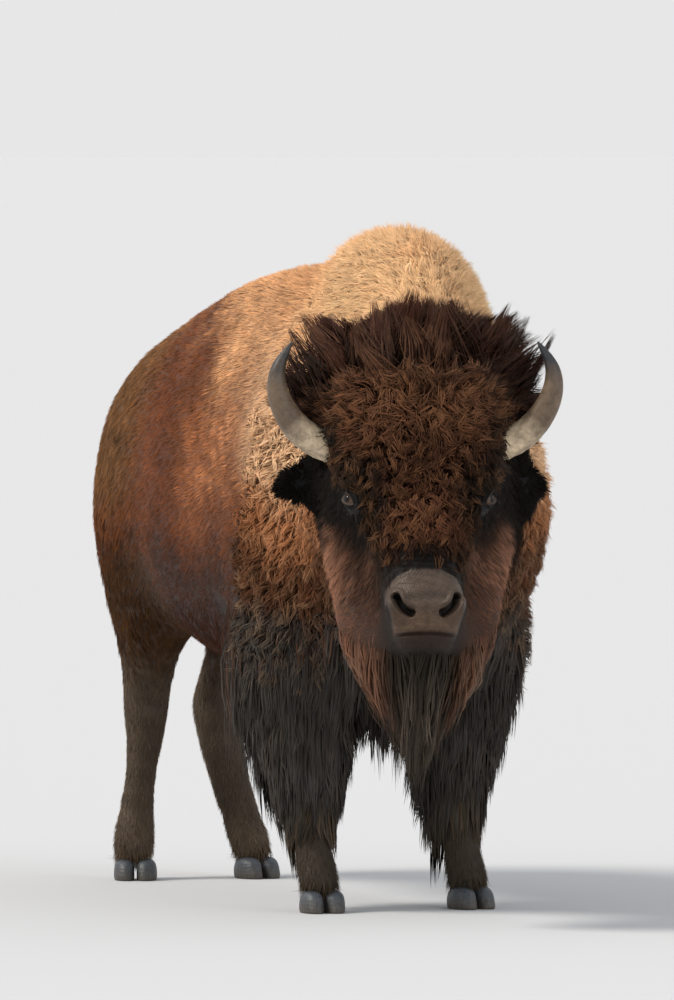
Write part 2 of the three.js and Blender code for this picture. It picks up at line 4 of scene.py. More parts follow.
import bmesh
import bpy
import numpy as np
from mathutils import Euler, Matrix, Vector
from mathutils.bvhtree import BVHTree
from mathutils.kdtree import KDTree


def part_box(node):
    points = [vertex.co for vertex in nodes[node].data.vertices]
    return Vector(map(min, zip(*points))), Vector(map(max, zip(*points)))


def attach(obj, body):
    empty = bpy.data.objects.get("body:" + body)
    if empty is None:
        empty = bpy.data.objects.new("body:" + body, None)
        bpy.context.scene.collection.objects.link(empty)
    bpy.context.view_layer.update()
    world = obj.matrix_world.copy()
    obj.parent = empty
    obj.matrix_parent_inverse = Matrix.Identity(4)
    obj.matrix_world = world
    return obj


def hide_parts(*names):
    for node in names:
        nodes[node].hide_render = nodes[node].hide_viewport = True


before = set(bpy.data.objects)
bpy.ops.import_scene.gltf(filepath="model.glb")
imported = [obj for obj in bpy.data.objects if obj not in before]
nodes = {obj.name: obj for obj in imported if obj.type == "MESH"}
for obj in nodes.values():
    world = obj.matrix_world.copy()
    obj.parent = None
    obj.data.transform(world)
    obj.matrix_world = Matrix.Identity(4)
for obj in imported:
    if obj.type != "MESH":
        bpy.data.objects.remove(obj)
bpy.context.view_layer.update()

scene = bpy.context.scene
wholeTurn = 6.28  # radians, near enough for a random start


def unit(vectors):
    vectors = np.asarray(vectors, float)
    return vectors / np.maximum(np.linalg.norm(vectors, axis=-1, keepdims=True), 1e-9)


# Places are told from a point on the floor under the shoulders: x to the animal's left, y to its tail.
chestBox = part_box("chest_mane")
shouldersBehind = 0.37975  # from the line of the forelegs back to the end of the shoulders
origin = np.array([(chestBox[0][0] + chestBox[1][0]) / 2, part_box("shoulders")[1][1] - shouldersBehind, 0.0])

headPose = {
    "at": (-0.170, -0.620, 1.250), "turn": 17.3, "pitch": 56,  # the skull's middle in metres, then degrees
    "nape": (-0.150, -0.525, 1.150), "napeTilt": 0.1,  # the plane behind the head
    "browTop": 0.122, "crownTilt": 0.35,  # the plane along the forehead's top edge
}
turn, pitch = math.radians(headPose["turn"]), math.radians(headPose["pitch"])
headAt = np.array(headPose["at"])
up = np.array([0.0, 0.0, 1.0])
heading = np.array([-math.sin(turn), -math.cos(turn), 0.0])
headLeft = np.array([math.cos(turn), -math.sin(turn), 0.0])
faceDown = heading * math.cos(pitch) - up * math.sin(pitch)  # down the face to the muzzle
faceOut = heading * math.sin(pitch) + up * math.cos(pitch)  # out of the forehead
napeWay = unit(up * headPose["napeTilt"] - heading)
crownWay = unit(up - heading * headPose["crownTilt"])


def onHead(points):  # (left, out of the face, down the face) from the middle of the skull
    return (points - headAt) @ np.array([headLeft, faceOut, faceDown]).T


def onLevel(points):  # the same with the head's level directions: left, back, up
    return (points - headAt) @ np.array([headLeft, -heading, up]).T


def fromHead(x, y, z):
    return headAt + headLeft * x + faceOut * y + faceDown * z


def rise(value, low, high):  # a smooth step from 0 at low to 1 at high
    t = np.clip((value - low) / (high - low), 0, 1)
    return t * t * (3 - 2 * t)


def hill(value, centre, half):  # 1 at the centre, fading on both sides
    return np.exp(-(((value - centre) / half) ** 2))


def behindHead(points):  # how far behind the back of the head
    return (points - headPose["nape"]) @ napeWay


def overBrow(points):  # how far above the forehead's top edge
    return (points - headAt - [0, 0, headPose["browTop"]]) @ crownWay


def mottle(points, size, seed):  # smooth patches about this size, from -1 to 1
    draw = np.random.default_rng(seed)
    total = np.zeros(len(points))
    for wave in range(5):
        way = unit(draw.normal(size=3)) * 2 * math.pi / (size * draw.uniform(0.7, 1.6))
        total += np.sin(points @ way + draw.uniform(0, wholeTurn) + 1.7 * np.sin(points @ way[[1, 2, 0]]))
    return total / 3.2


def streaks(points, across, along, seed):  # patches drawn out along the lie of the flank's hair
    turned = points @ np.array([[0.5, 0, 0], [0, 0.6, 0.8], [0, -0.8, 0.6]])
    return mottle(turned / [across, across, along], 1, seed)


def meshOf(source, name):
    mesh = bpy.data.meshes.new(name)
    source.to_mesh(mesh)
    source.free()
    return mesh


def addObject(name, mesh):
    obj = bpy.data.objects.new(name, mesh)
    scene.collection.objects.link(obj)
    return obj


def vertsOf(mesh):  # places in the body's own frame
    found = np.empty(len(mesh.vertices) * 3, np.float32)
    mesh.vertices.foreach_get("co", found)
    return found.reshape(-1, 3).astype(float) - origin


def setVerts(mesh, points):
    mesh.vertices.foreach_set("co", (points + origin).astype(np.float32).ravel())
    mesh.update()


def vertNormals(mesh):
    found = np.empty(len(mesh.vertices) * 3, np.float32)
    mesh.vertex_normals.foreach_get("vector", found)
    return found.reshape(-1, 3).astype(float)


def setColours(mesh, name, colours):
    layer = mesh.color_attributes.new(name, "FLOAT_COLOR", "POINT")
    full = np.ones((len(mesh.vertices), 4), np.float32)
    full[:, :3] = np.clip(colours, 0, 1)
    layer.data.foreach_set("color", full.ravel())


def setShares(mesh, name, shares):
    mesh.attributes.new(name, "FLOAT", "POINT").data.foreach_set("value", shares.astype(np.float32))


def settled(obj):  # the mesh with its modifiers applied
    mesh = bpy.data.meshes.new_from_object(obj.evaluated_get(bpy.context.evaluated_depsgraph_get()))
    obj.modifiers.clear()
    obj.data = mesh
    return mesh


def smoothShade(mesh):
    mesh.polygons.foreach_set("use_smooth", np.ones(len(mesh.polygons), bool))


def nodeCopy(name):  # a CAD node's mesh with its doubles merged
    copy = bmesh.new()
    copy.from_mesh(nodes[name].data)
    bmesh.ops.remove_doubles(copy, verts=copy.verts, dist=1e-5)
    bmesh.ops.recalc_face_normals(copy, faces=copy.faces)
    return copy


def subdivided(source, name, levels):  # a smooth object, ready for its own material
    obj = addObject(name, meshOf(source, name))
    subdivision = obj.modifiers.new("subdivision", "SUBSURF")
    subdivision.levels = subdivision.render_levels = levels
    mesh = settled(obj)
    smoothShade(mesh)
    mesh.materials.clear()
    return obj, mesh


def remeshed(mesh, name, voxel, passes, trunkPasses):
    obj = addObject(name, mesh)
    remesh = obj.modifiers.new("remesh", "REMESH")
    remesh.mode, remesh.voxel_size = "VOXEL", voxel
    x, y, z = vertsOf(settled(obj)).T
    # The trunk's broad curves are smoothed more than the head and legs.
    trunk = (z > 0.62) & (y > -0.25) & (y < 1.56)
    obj.vertex_groups.new(name="trunk").add(np.flatnonzero(trunk).tolist(), 1.0, "REPLACE")
    for rounds, chosen in ((passes, ""), (trunkPasses, "trunk")):
        smooth = obj.modifiers.new("smooth", "SMOOTH")
        smooth.iterations, smooth.factor, smooth.vertex_group = rounds, 0.5, chosen
    return obj, settled(obj)


# The coat's colours, by place.
coatColours = {
    "hump": "dcb083", "back": "c99468", "flank": "6c391a", "belly": "3f1c08", "rump": "6f4c2e", "rust": "b4744a",
    "capeTop": "e6b88e", "cape": "a36a44", "capeMid": "5a3723", "capeLow": "4a2e1f", "thigh": "45290f",
    "forehead": "2f1b13", "brow": "5a3827", "bonnet": "361b14", "crown": "664430", "ear": "060404",
    "cheek": "875f4b", "mask": "15110f", "bridge": "221612", "beard": "37302a", "chaps": "35312e",
    "shank": "594b3d", "foreShank": "41382e", "rim": "4c4039", "pad": "43372e", "padLow": "4e3c2e",
    "lip": "2a1e17", "lid": "100c0b",
}


def linear(hexColour):
    parts = [int(hexColour[i:i + 2], 16) / 255 for i in (0, 2, 4)]
    return np.array([c / 12.92 if c < 0.0405 else ((c + 0.055) / 1.055) ** 2.4 for c in parts])


tint = {name: linear(value) for name, value in coatColours.items()}


def plain(name, points):
    return np.tile(tint[name], (len(points), 1))


def painted(base, *layers):  # lays each named colour over the last one by its share
    for name, share in layers:
        base = base + (tint[name] - base) * np.clip(share, 0, 1)[:, None]
    return base


def merged(base, other, share):
    return base + (other - base) * share[:, None]


# The eyes and the nose pad, told on the head: left, out of the face, down the face.
eyeSet = {"at": (0.173, 0.031, 0.196), "radius": 0.021, "gaze": (0.80, 0.54, 0.16), "corner": (-0.50, 0.20, 0.66)}
noseSet = {
    "at": (0, 0.062, 0.515), "lean": 0.412,  # the pad's middle, and how far it leans down the face
    "heights": (-0.090, -0.05, 0, 0.035, 0.060, 0.078), "halfWidths": (0.080, 0.090, 0.106, 0.098, 0.076, 0.038),
    "front": -0.075,  # the pad and the lips end this far back
}
noseAt = fromHead(*noseSet["at"])
noseOut = faceOut * math.cos(noseSet["lean"]) + faceDown * math.sin(noseSet["lean"])
noseUp = faceOut * math.sin(noseSet["lean"]) - faceDown * math.cos(noseSet["lean"])


def onNose(points):  # across the pad, up it and out of it
    return ((points - noseAt) @ np.array([headLeft, noseUp, noseOut]).T).T


def eyeCentre(side):
    return fromHead(side * eyeSet["at"][0], *eyeSet["at"][1:])


def eyeReach(points):  # the distance from the nearer eye's middle
    local = onHead(points)
    return np.linalg.norm(np.abs(local) * [1, 0, 0] + local * [0, 1, 1] - eyeSet["at"], axis=1)


def padShare(points):  # 1 on the bare nose pad
    across, rises, out = onNose(points)
    half = np.interp(rises, noseSet["heights"], noseSet["halfWidths"])
    ends = np.minimum(noseSet["heights"][-1] - rises, rises - noseSet["heights"][0])
    return rise(np.minimum(half - np.abs(across), ends), -0.004, 0.006) * (out > noseSet["front"])


def lipShare(points):
    across, rises, out = onNose(points)
    band = rise(rises, -0.132, -0.118) * rise(-rises, 0.082, 0.088)
    return band * rise(0.078 - np.abs(across), 0, 0.01) * (out > noseSet["front"])


crownMasses = (  # the long hair of the crown: middle, left and right, with centres and reaches as left, back, up
    ((0, 0.020, 0.160), (0.240, 0.190, 0.190)), ((0.222, 0.096, 0.132), (0.127, 0.118, 0.196)),
    ((-0.218, 0.096, 0.128), (0.127, 0.118, 0.192)),
)


def crownReach(points, masses=crownMasses):  # under 1 inside the masses
    level = onLevel(points)
    return np.min([np.linalg.norm((level - at) / radii, axis=1) for at, radii in masses], axis=0)


def crownShare(points):
    left, back, high = onLevel(points).T
    sides = rise(crownReach(points, crownMasses[1:]), 1.10, 1.0) * rise(high, -0.03, 0.03)
    sides = sides * rise(np.abs(left), 0.13, 0.18)
    overEdge = overBrow(points) + 0.4 * np.maximum(back + 0.04, 0)
    return np.maximum(sides, rise(crownReach(points), 1.12, 1.02) * rise(overEdge, 0.018, 0.045))


earPose = {"at": (0.296, 0.094, -0.110), "turn": (0.1, 0.2, -0.3), "radii": (0.105, 0.055, 0.082)}


def earFrame(side):  # a matrix from the ear's own frame to the body's frame
    x, y, z = earPose["at"]
    place = headAt + headLeft * side * x - heading * y + up * z
    level = Matrix([(*row, 0) for row in np.array([headLeft, -heading, up]).T] + [(0, 0, 0, 1)])
    a, b, c = earPose["turn"]
    return Matrix.Translation(place) @ level @ Euler((a, side * b, side * c), "XYZ").to_matrix().to_4x4()


def onEar(points, side):
    inverse = np.array(earFrame(side).inverted())
    return points @ inverse[:3, :3].T + inverse[:3, 3]


def earShare(points):
    reach = np.min([np.linalg.norm(onEar(points, side) / earPose["radii"], axis=1) for side in (-1, 1)], axis=0)
    return rise(reach, 1.15, 0.95)


def capeEdge(points):  # how far behind the cape's rear edge
    z = points[:, 2]
    wander = 0.03 * np.sin(z * 21 + 0.6) + 0.035 * mottle(points, 0.16, 6)
    shape = 0.03 - 0.11 * hill(z, 1.46, 0.20) + 0.16 * rise(z, 1.62, 1.80) + 0.12 * rise(z, 0.95, 0.70)
    return points[:, 1] - (shape + wander)


def trunkColour(points, level):
    x, y, z = points.T
    streak, rear = streaks(points, 0.05, 0.22, 5), rise(y, 0.8, 1.0)
    colour = painted(
        plain("flank", points),
        ("belly", rise(level, 1.04, 0.84)),
        ("rump", rise(y, 0.85, 1.2) * rise(level, 0.95, 1.15)),
        ("rust", hill(y, 0.26, 0.24) * hill(level, 1.22, 0.15) * (0.75 + 0.5 * streak)),
        ("back", rise(level + 0.04 * streak - 0.26 * rise(y, 0.1, 0.9), 1.22, 1.50) * rise(y, 1.45, 0.8)),
        ("thigh", rear * rise(level, 1.05, 0.82)),
        ("shank", rear * rise(z, 0.7, 0.5)))
    return colour * (1 + 0.22 * streak + 0.10 * streaks(points, 0.018, 0.09, 8))[:, None]


def capeColour(points, level):  # gold over the hump, rust down the shoulder and neck, dark at throat and elbows
    x, y, z = points.T
    gold = painted(
        plain("cape", points),
        ("capeTop", rise(level, 1.06, 1.18)),
        ("back", rise(level, 1.40, 1.50) * 0.75),
        ("hump", rise(level + 0.25 * rise(y, -0.05, -0.30), 1.46, 1.60)),
        ("back", rise(level, 1.72, 1.80) * (0.8 - 0.7 * rise(x, -0.05, 0.08))))
    # On the +x side the hump's top is spared the darker back colour above and brightened here: painted sunlight on
    # that side.
    gold = gold * (1 + 0.18 * rise(x, 0.02, 0.16) * rise(z, 1.50, 1.62))[:, None]
    return painted(
        gold,
        ("capeMid", rise(level, 1.06, 0.93)),
        ("capeLow", rise(level, 0.92, 0.80)),
        ("chaps", rise(level, 0.85, 0.74)),
        ("foreShank", rise(z, 0.38, 0.32)))


def headColour(points, level, patches, fine):
    left, out, down = onHead(points).T
    wide, high = np.abs(left), onLevel(points)[:, 2]
    across, rises, front = onNose(points)
    onFront, fromEye = rise(out, 0.0, 0.04), eyeReach(points)
    head = painted(
        plain("cheek", points),
        ("forehead", rise(out, -0.03, 0.03) * rise(down, 0.45, 0.36)),
        ("brow", onFront * hill(wide, 0.12, 0.07) * hill(down, 0.06, 0.10) * 0.6),
        ("brow", onFront * hill(left, 0, 0.12) * hill(down, 0.28, 0.09) * 0.7),
        ("crown", hill(high, 0.10, 0.06) * rise(wide, 0.20, 0.10)))
    # The head's sides are made a little paler, and much paler on its right (left < 0), the lit side: painted light
    # there.
    head = head * (1 + (0.1 + 0.38 * (left < 0)) * rise(wide, 0.17, 0.24) * rise(down, 0.15, 0.25))[:, None]
    # A dark mask: the rings of the eyes, a stripe down from each, the temples and the fringe of the nose pad.
    ragged = down + 0.03 * fine + 0.03 * patches
    stripe = rise(ragged, 0.05, 0.10) * rise(ragged, 0.52, 0.36) * rise(out, -0.16, -0.09)
    stripe = stripe * hill(wide + 0.018 * fine, 0.145, 0.046) * (0.75 + 0.4 * patches)
    temple = rise(ragged, 0.24, 0.15) * rise(wide, 0.155, 0.175) * rise(high, 0.10, 0.02)
    aroundPad = rise(np.hypot(across, rises + 0.015) + 0.014 * fine, 0.200, 0.130) * rise(front, -0.18, -0.09)
    return painted(
        head,
        ("bridge", hill(left, 0, 0.14) * rise(down, 0.32, 0.38)),
        ("mask", rise(fromEye, 0.155, 0.09) * 0.9),
        ("mask", np.maximum(stripe, temple)),
        ("mask", rise(fromEye, 0.085, 0.055)),
        ("mask", aroundPad * 0.9),
        ("beard", rise(level, 0.80, 0.73) * rise(wide, 0.14, 0.07)),
        ("capeLow", rise(level, 0.84, 0.70) * rise(wide, 0.06, 0.12) * 0.6))


def markings(points):  # the coat's colour at each place, for the skin and for the locks alike
    x, y, z = points.T
    patches, fine = mottle(points, 0.35, 3), mottle(points, 0.09, 4)
    level = z + 0.05 * patches + 0.02 * fine  # the height, made ragged
    soft = 0.05 + 0.09 * rise(z, 1.05, 1.30)  # the cape's edge is crisp low down and fades over the back
    colour = merged(trunkColour(points, level), capeColour(points, level), rise(-capeEdge(points), -soft, soft))
    colour = painted(
        colour,
        ("capeTop", hill(y, -0.02, 0.18) * hill(level, 1.38, 0.15) * 0.6),
        ("chaps", rise(level, 0.86, 0.74) * rise(y, 0.46, 0.34) * rise(z, 0.34, 0.40)))  # behind the elbow
    dustAndSheen = rise(-x, 0.04, 0.14) * rise(level, 0.86, 0.78) * rise(z, 0.36, 0.48) * rise(y, 0.5, 0.4)
    colour = colour * (1 + 0.28 * dustAndSheen)[:, None]  # the right foreleg's hair is paler: partly dust, partly a painted sheen
    inHead = rise(-behindHead(points), -0.015, 0.015)
    colour = merged(colour, headColour(points, level, patches, fine), inHead)
    crown, wide = crownShare(points), np.abs(onHead(points)[:, 0])
    colour = painted(
        colour,
        ("bonnet", rise(crown, 0.05, 0.45)),
        ("ear", crown * rise(wide, 0.10, 0.20) * 0.6),
        ("chaps", rise(y, 1.56, 1.60) * rise(z, 1.15, 1.0)),  # the tail's tuft
        ("ear", earShare(points)))
    return colour * (1 + 0.10 * patches + 0.06 * fine)[:, None]


# Where the hair is long, the flesh is drawn in under it before the parts are joined.
skinSet = {
    "voxel": 0.012, "hullVoxel": 0.016,  # metres
    "grown": 0.0015,  # closes the cuts between the parts
    "kept": 0.70,  # the share of faces kept under the coat
    "soleTop": 0.085, "soleDrop": 0.004,  # the feet aren't drawn up out of the hooves
}
foreAxis = {  # the foreleg's middle and half width by height
    "z": (0.02, 0.075, 0.125, 0.18, 0.25, 0.33, 0.40, 0.56, 0.76, 0.90),
    "y": (-0.096, -0.084, -0.054, -0.028, -0.020, -0.018, -0.018, -0.010, 0.0, 0.010),
    "r": (0.064, 0.062, 0.058, 0.052, 0.052, 0.062, 0.072, 0.100, 0.140, 0.20),
    "x": (0.212, 0.212, 0.212, 0.212, 0.212, 0.212, 0.212, 0.212, 0.195, 0.180),
}
drawSet = {
    "crown": 0.72, "crownBack": 0.25,  # shares taken off
    "headWide": 0.17, "crownSide": 0.78,  # the head's half width, and the share taken off beyond it
    "beardTop": 0.70, "beard": 0.80, "beardWidth": 0.45, "maneTop": 0.69, "mane": 0.72,
    "leg": 0.15, "ear": 0.76, "tail": 0.65, "tailLine": 1.622,  # shares kept, and the tail's middle
}


def drawnIn(name, points):
    x, y, z = points.T
    if name == "bonnet":
        points = points - crownWay * (np.maximum(overBrow(points), 0) * drawSet["crown"])[:, None]
        points = points + heading * ((onLevel(points)[:, 1] - 0.03) * drawSet["crownBack"])[:, None]
    if name in ("bonnet", "neck"):
        left, wide = onLevel(points)[:, 0], drawSet["headWide"]
        share = rise(crownReach(points, crownMasses[1:]), 1.35, 1.15) * (np.abs(left) > wide)
        points = points - headLeft * (np.sign(left) * (np.abs(left) - wide) * drawSet["crownSide"] * share)[:, None]
    if name == "beard":
        below = np.maximum(drawSet["beardTop"] - z, 0)
        centre = fromHead(0, -0.10, 0.40)
        keep = 1 - drawSet["beardWidth"] * rise(below, 0, 0.06)
        across, along = centre[0] + (x - centre[0]) * keep, centre[1] + (y - centre[1]) * keep
        points = np.column_stack([across, along, z + below * drawSet["beard"]])
    if name == "chest_mane":
        points = np.column_stack([x, y, z + np.maximum(drawSet["maneTop"] - z, 0) * drawSet["mane"]])
    if name.startswith("foreleg"):
        axisX, axisY, radius = (np.interp(z, foreAxis["z"], foreAxis[key]) for key in "xyr")
        axisX = np.sign(x) * axisX
        away = np.hypot(x - axisX, y - axisY)
        share = np.minimum(away, radius + drawSet["leg"] * (away - radius)) / np.maximum(away, 1e-6)
        share = share + (1 - share) * rise(z, 0.62, 0.69)
        points = np.column_stack([axisX + (x - axisX) * share, axisY + (y - axisY) * share, z])
    if name.startswith("ear"):
        middle = np.array(earFrame(1 if name.endswith("left") else -1).translation)
        points = middle + (points - middle) * drawSet["ear"]
    if name == "tail_tuft":
        keep, line = drawSet["tail"], drawSet["tailLine"]
        points = np.column_stack([x * keep, line + (y - line) * keep, z + 0.02 * rise(z, 0.9, 0.8)])
    return points


def coatDepth(points):  # how deep the skin lies under the coat's outside
    x, y, z = points.T
    left, out, down = onHead(points).T
    depth = 0.012 + 0.014 * rise(z, 1.45, 1.62) * rise(y, 0.5, 0.1)
    depth = depth + (0.005 - depth) * rise(z, 0.62, 0.45) * (np.abs(y - 1.3) < 0.45)
    cape = 0.045 * rise(-capeEdge(points), -0.05, 0.12) * rise(z, 0.55, 0.70) * (1 - 0.45 * rise(z, 1.40, 1.55))
    depth = np.maximum(depth, cape)
    depth = depth + (0.005 - depth) * rise(z, 0.62, 0.50) * (y < 0.6)
    head = 0.010 + 0.032 * rise(out, 0.0, 0.06) * rise(down, 0.36, 0.22) * rise(eyeReach(points), 0.04, 0.10)
    head = head + 0.012 * rise(out, -0.02, -0.12) * rise(down, 0.45, 0.30)
    head = head + (0.004 - head) * rise(down, 0.38, 0.47)
    depth = depth + (head - depth) * rise(-behindHead(points), -0.03, 0.03)
    depth = depth + (0.005 - depth) * earShare(points)
    return depth + (0.003 - depth) * rise(y, 1.575, 1.60) * rise(z, 1.36, 1.30)


fleshNodes = [
    "shoulders", "barrel", "hindquarters", "neck", "head", "bonnet", "beard", "chest_mane", "tail", "tail_tuft",
] + [f"{part}_{side}" for part in (
    "foreleg_upper", "foreleg_lower", "hindleg_upper", "hindleg_lower", "ear") for side in ("left", "right")]
hull, flesh = bmesh.new(), bmesh.new()
for name in fleshNodes:
    copy = nodeCopy(name)
    for vert in copy.verts:
        vert.co += vert.normal * skinSet["grown"]
    mesh = meshOf(copy, "part")
    hull.from_mesh(mesh)
    setVerts(mesh, drawnIn(name, vertsOf(mesh)))
    flesh.from_mesh(mesh)
hullObject, hullMesh = remeshed(meshOf(hull, "hull"), "hull", skinSet["hullVoxel"], 4, 24)
fleshObject, fleshMesh = remeshed(meshOf(flesh, "flesh"), "flesh", skinSet["hullVoxel"], 5, 24)
points = vertsOf(fleshMesh)
moved = points - vertNormals(fleshMesh) * coatDepth(points)[:, None]
low = np.minimum(moved[:, 2], points[:, 2] - skinSet["soleDrop"])
moved[:, 2] = np.where(points[:, 2] < skinSet["soleTop"], low, moved[:, 2])
setVerts(fleshMesh, moved)

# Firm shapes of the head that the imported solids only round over, each with its place on the head and its reach.
firmShapes = {
    "muzzle": ((0, -0.050, 0.480), (0.103, 0.128, 0.147)), "chin": ((0, -0.112, 0.520), (0.074, 0.050, 0.085)),
    "nostrilWings": ((0.072, 0.030, 0.520), (0.034, 0.040, 0.042)),
    "brows": ((0.150, 0.052, 0.150), (0.042, 0.036, 0.045)),
}
joined = bmesh.new()
joined.from_mesh(fleshMesh)
for (left, out, down), radii in firmShapes.values():
    for side in (1, -1) if left else (1,):
        for vert in bmesh.ops.create_icosphere(joined, subdivisions=4, radius=1)["verts"]:
            place = np.array((left * side, out, down)) + np.array(vert.co) * radii
            vert.co = Vector(fromHead(*place) + origin)
for side in (-1, 1):  # the swell of the lids over each eye
    swell = bmesh.ops.create_icosphere(joined, subdivisions=4, radius=eyeSet["radius"] + 0.004)["verts"]
    bmesh.ops.translate(joined, verts=swell, vec=eyeCentre(side) + origin)
skinObject, skinMesh = remeshed(meshOf(joined, "hide"), "hide", skinSet["voxel"], 4, 4)
bpy.data.objects.remove(fleshObject)
bpy.data.objects.remove(hullObject)

# The mesh is cut finer round the muzzle and the eyes, in rounds that each reach less far.
fineSet = {"muzzle": (0.19, 0.15, 0.115), "eyes": (0.075, 0.060, 0.045)}


def nearFeatures(points, turnNumber):
    across, rises, out = onNose(points)
    muzzle = (np.hypot(across, rises + 0.02) < fineSet["muzzle"][turnNumber]) & (out > -0.10)
    return muzzle | (eyeReach(points) < fineSet["eyes"][turnNumber])


work = bmesh.new()
work.from_mesh(skinMesh)
for turnNumber in range(len(fineSet["eyes"])):
    near = nearFeatures(np.array([vert.co for vert in work.verts]) - origin, turnNumber)
    edges = [edge for edge in work.edges if near[edge.verts[0].index] and near[edge.verts[1].index]]
    bmesh.ops.subdivide_edges(work, edges=edges, cuts=1, use_grid_fill=True, smooth=0.3)
    work.verts.ensure_lookup_table()
    work.verts.index_update()
work.to_mesh(skinMesh)
work.free()
print("skin joined:", len(skinMesh.polygons), "faces")

muzzleSet = {
    "nostrilOuter": (0.080, 0.004), "nostrilInner": (0.044, -0.036), "outerRadius": 0.0125, "innerRadius": 0.0130,
    "nostrilDepth": 0.036, "rim": 0.0060, "wing": 0.006, "ridge": 0.005, "dip": 0.004, "groove": 0.004,
    "mouth": -0.087, "mouthCurve": 0.7, "mouthDepth": 0.012, "upperLip": 0.003, "lip": 0.004,
    "folds": 0.0016, "edge": 0.0025, "cobble": 0.0006,
}


def sculptMuzzle(points):
    leftward, rises, out = onNose(points)
    across, front, bare = np.abs(leftward), rise(out, -0.09, -0.05), padShare(points)
    start, end = np.array(muzzleSet["nostrilOuter"]), np.array(muzzleSet["nostrilInner"])
    flat = np.column_stack([across, rises])
    t = np.clip(((flat - start) @ (end - start)) / np.dot(end - start, end - start), 0, 1)
    bend = np.column_stack([0.004 * np.sin(math.pi * t), -0.008 * np.sin(math.pi * t)])  # it curls like a comma
    away = np.linalg.norm(flat - (start + t[:, None] * (end - start) + bend), axis=1)
    radius = muzzleSet["outerRadius"] + (muzzleSet["innerRadius"] - muzzleSet["outerRadius"]) * t
    hole = rise(radius - away, -0.002, 0.008) * muzzleSet["nostrilDepth"]
    mouth = hill(rises, muzzleSet["mouth"] - muzzleSet["mouthCurve"] * across ** 2, 0.0045)
    shapes = {
        "rim": hill(away - radius, 0.008, 0.007) * rise(rises + 0.4 * (across - 0.06), -0.040, -0.012),
        "wing": hill(across, 0.098, 0.014) * hill(rises, -0.010, 0.030),
        "ridge": hill(rises, 0.020 - 2.0 * across ** 2, 0.014) * rise(0.08 - across, 0, 0.04),
        "dip": -hill(across, 0.058, 0.020) * hill(rises, -0.066, 0.012),
        "groove": -hill(across, 0, 0.006) * rise(-rises, 0.012, 0.03) * rise(rises, -0.088, -0.07),
        "mouthDepth": -mouth * rise(0.098 - across, 0, 0.02),
        "upperLip": hill(rises, muzzleSet["mouth"] + 0.014, 0.009) * rise(0.09 - across, 0, 0.03),
        "lip": hill(rises, muzzleSet["mouth"] - 0.022, 0.014) * rise(0.085 - across, 0, 0.04),
        "folds": np.sin(rises * 420) * hill(rises, 0.098, 0.022) * rise(0.09 - across, 0, 0.04),
        "edge": rise(bare, 0.2, 0.9),
        "cobble": mottle(points, 0.009, 21) * bare,
    }
    push = sum(muzzleSet[name] * shape for name, shape in shapes.items()) - hole
    inward = -np.sign(leftward) * hole * 0.35  # the passage runs back and in
    return points + noseOut * (push * front)[:, None] + headLeft * (inward * front)[:, None]


lidSet = {
    "long": 0.88, "upper": 0.46, "lower": 0.36,  # the slit, as shares of the eye's radius
    "lift": 0.0035, "thick": 0.012, "rim": 0.0030, "sunk": 0.005, "upperCrease": 0.0030, "lowerCrease": 0.0022,
}


def eyeAxes(side):  # the gaze, the way to the inner corner, and up, in the body's frame
    turnTo = np.array([headLeft * side, faceOut, faceDown])
    gaze = unit(np.array(eyeSet["gaze"]) @ turnTo)
    corner = np.array(eyeSet["corner"]) @ turnTo
    corner = unit(corner - gaze * (corner @ gaze))
    lift = np.cross(gaze, corner) * side
    return gaze, corner, lift if lift[2] > 0 else -lift


def lidOpening(ways, side):  # how far inside the slit between the lids, and how far above its middle
    gaze, corner, lift = eyeAxes(side)
    forward, along, above = ways @ gaze, ways @ corner, ways @ lift
    half = np.where(above > 0, lidSet["upper"], lidSet["lower"])
    half = half * np.sqrt(np.clip(1 - (along / lidSet["long"]) ** 2, 0, 1))
    return (half - np.abs(above)) * (forward > 0.2), forward, above


def sculptLids(points):
    radius = eyeSet["radius"]
    for side in (-1, 1):
        away = points - eyeCentre(side)
        reach = np.linalg.norm(away, axis=1)
        ways = away / reach[:, None]
        inside, forward, above = lidOpening(ways, side)
        near = rise(reach, 0.055, 0.038) * (forward > -0.2)
        slit = rise(inside, -0.05, 0.05) * (forward > 0.2)
        rim = lidSet["rim"] * hill(inside, -0.14, 0.12) * (forward > 0)
        crease = lidSet["upperCrease"] * hill(above, 0.86, 0.10) + lidSet["lowerCrease"] * hill(above, -0.72, 0.09)
        lidTop = np.maximum(reach, radius + lidSet["lift"] + rim) - crease * (forward > 0)
        wanted = np.where(forward > 0.1, np.minimum(lidTop, radius + lidSet["thick"] + rim), reach)
        wanted = wanted * (1 - slit) + (radius - lidSet["sunk"]) * slit
        points = points + ways * ((wanted - reach) * near)[:, None]
    return points


skinPoints = sculptLids(sculptMuzzle(vertsOf(skinMesh)))
setVerts(skinMesh, skinPoints)
smoothShade(skinMesh)

# The hide's own unwrap, which places every tuft's patch.
bpy.context.view_layer.objects.active = skinObject
skinObject.select_set(True)
skinMesh.uv_layers.new(name="OFBake")
bpy.ops.object.mode_set(mode="EDIT")
bpy.ops.mesh.select_all(action="SELECT")
bpy.ops.uv.smart_project(angle_limit=1.15, island_margin=0.002, scale_to_bounds=True)
bpy.ops.object.mode_set(mode="OBJECT")
print("skin unwrapped")

shadeSet = {
    "closed": 0.62, "open": 0.34, "pale": 0.30, "least": 0.06,  # painted shade: how dark the skin is under close and open hair
    "nostril": 0.85, "crease": 0.45, "blotch": 0.18, "speck": 0.10,
}


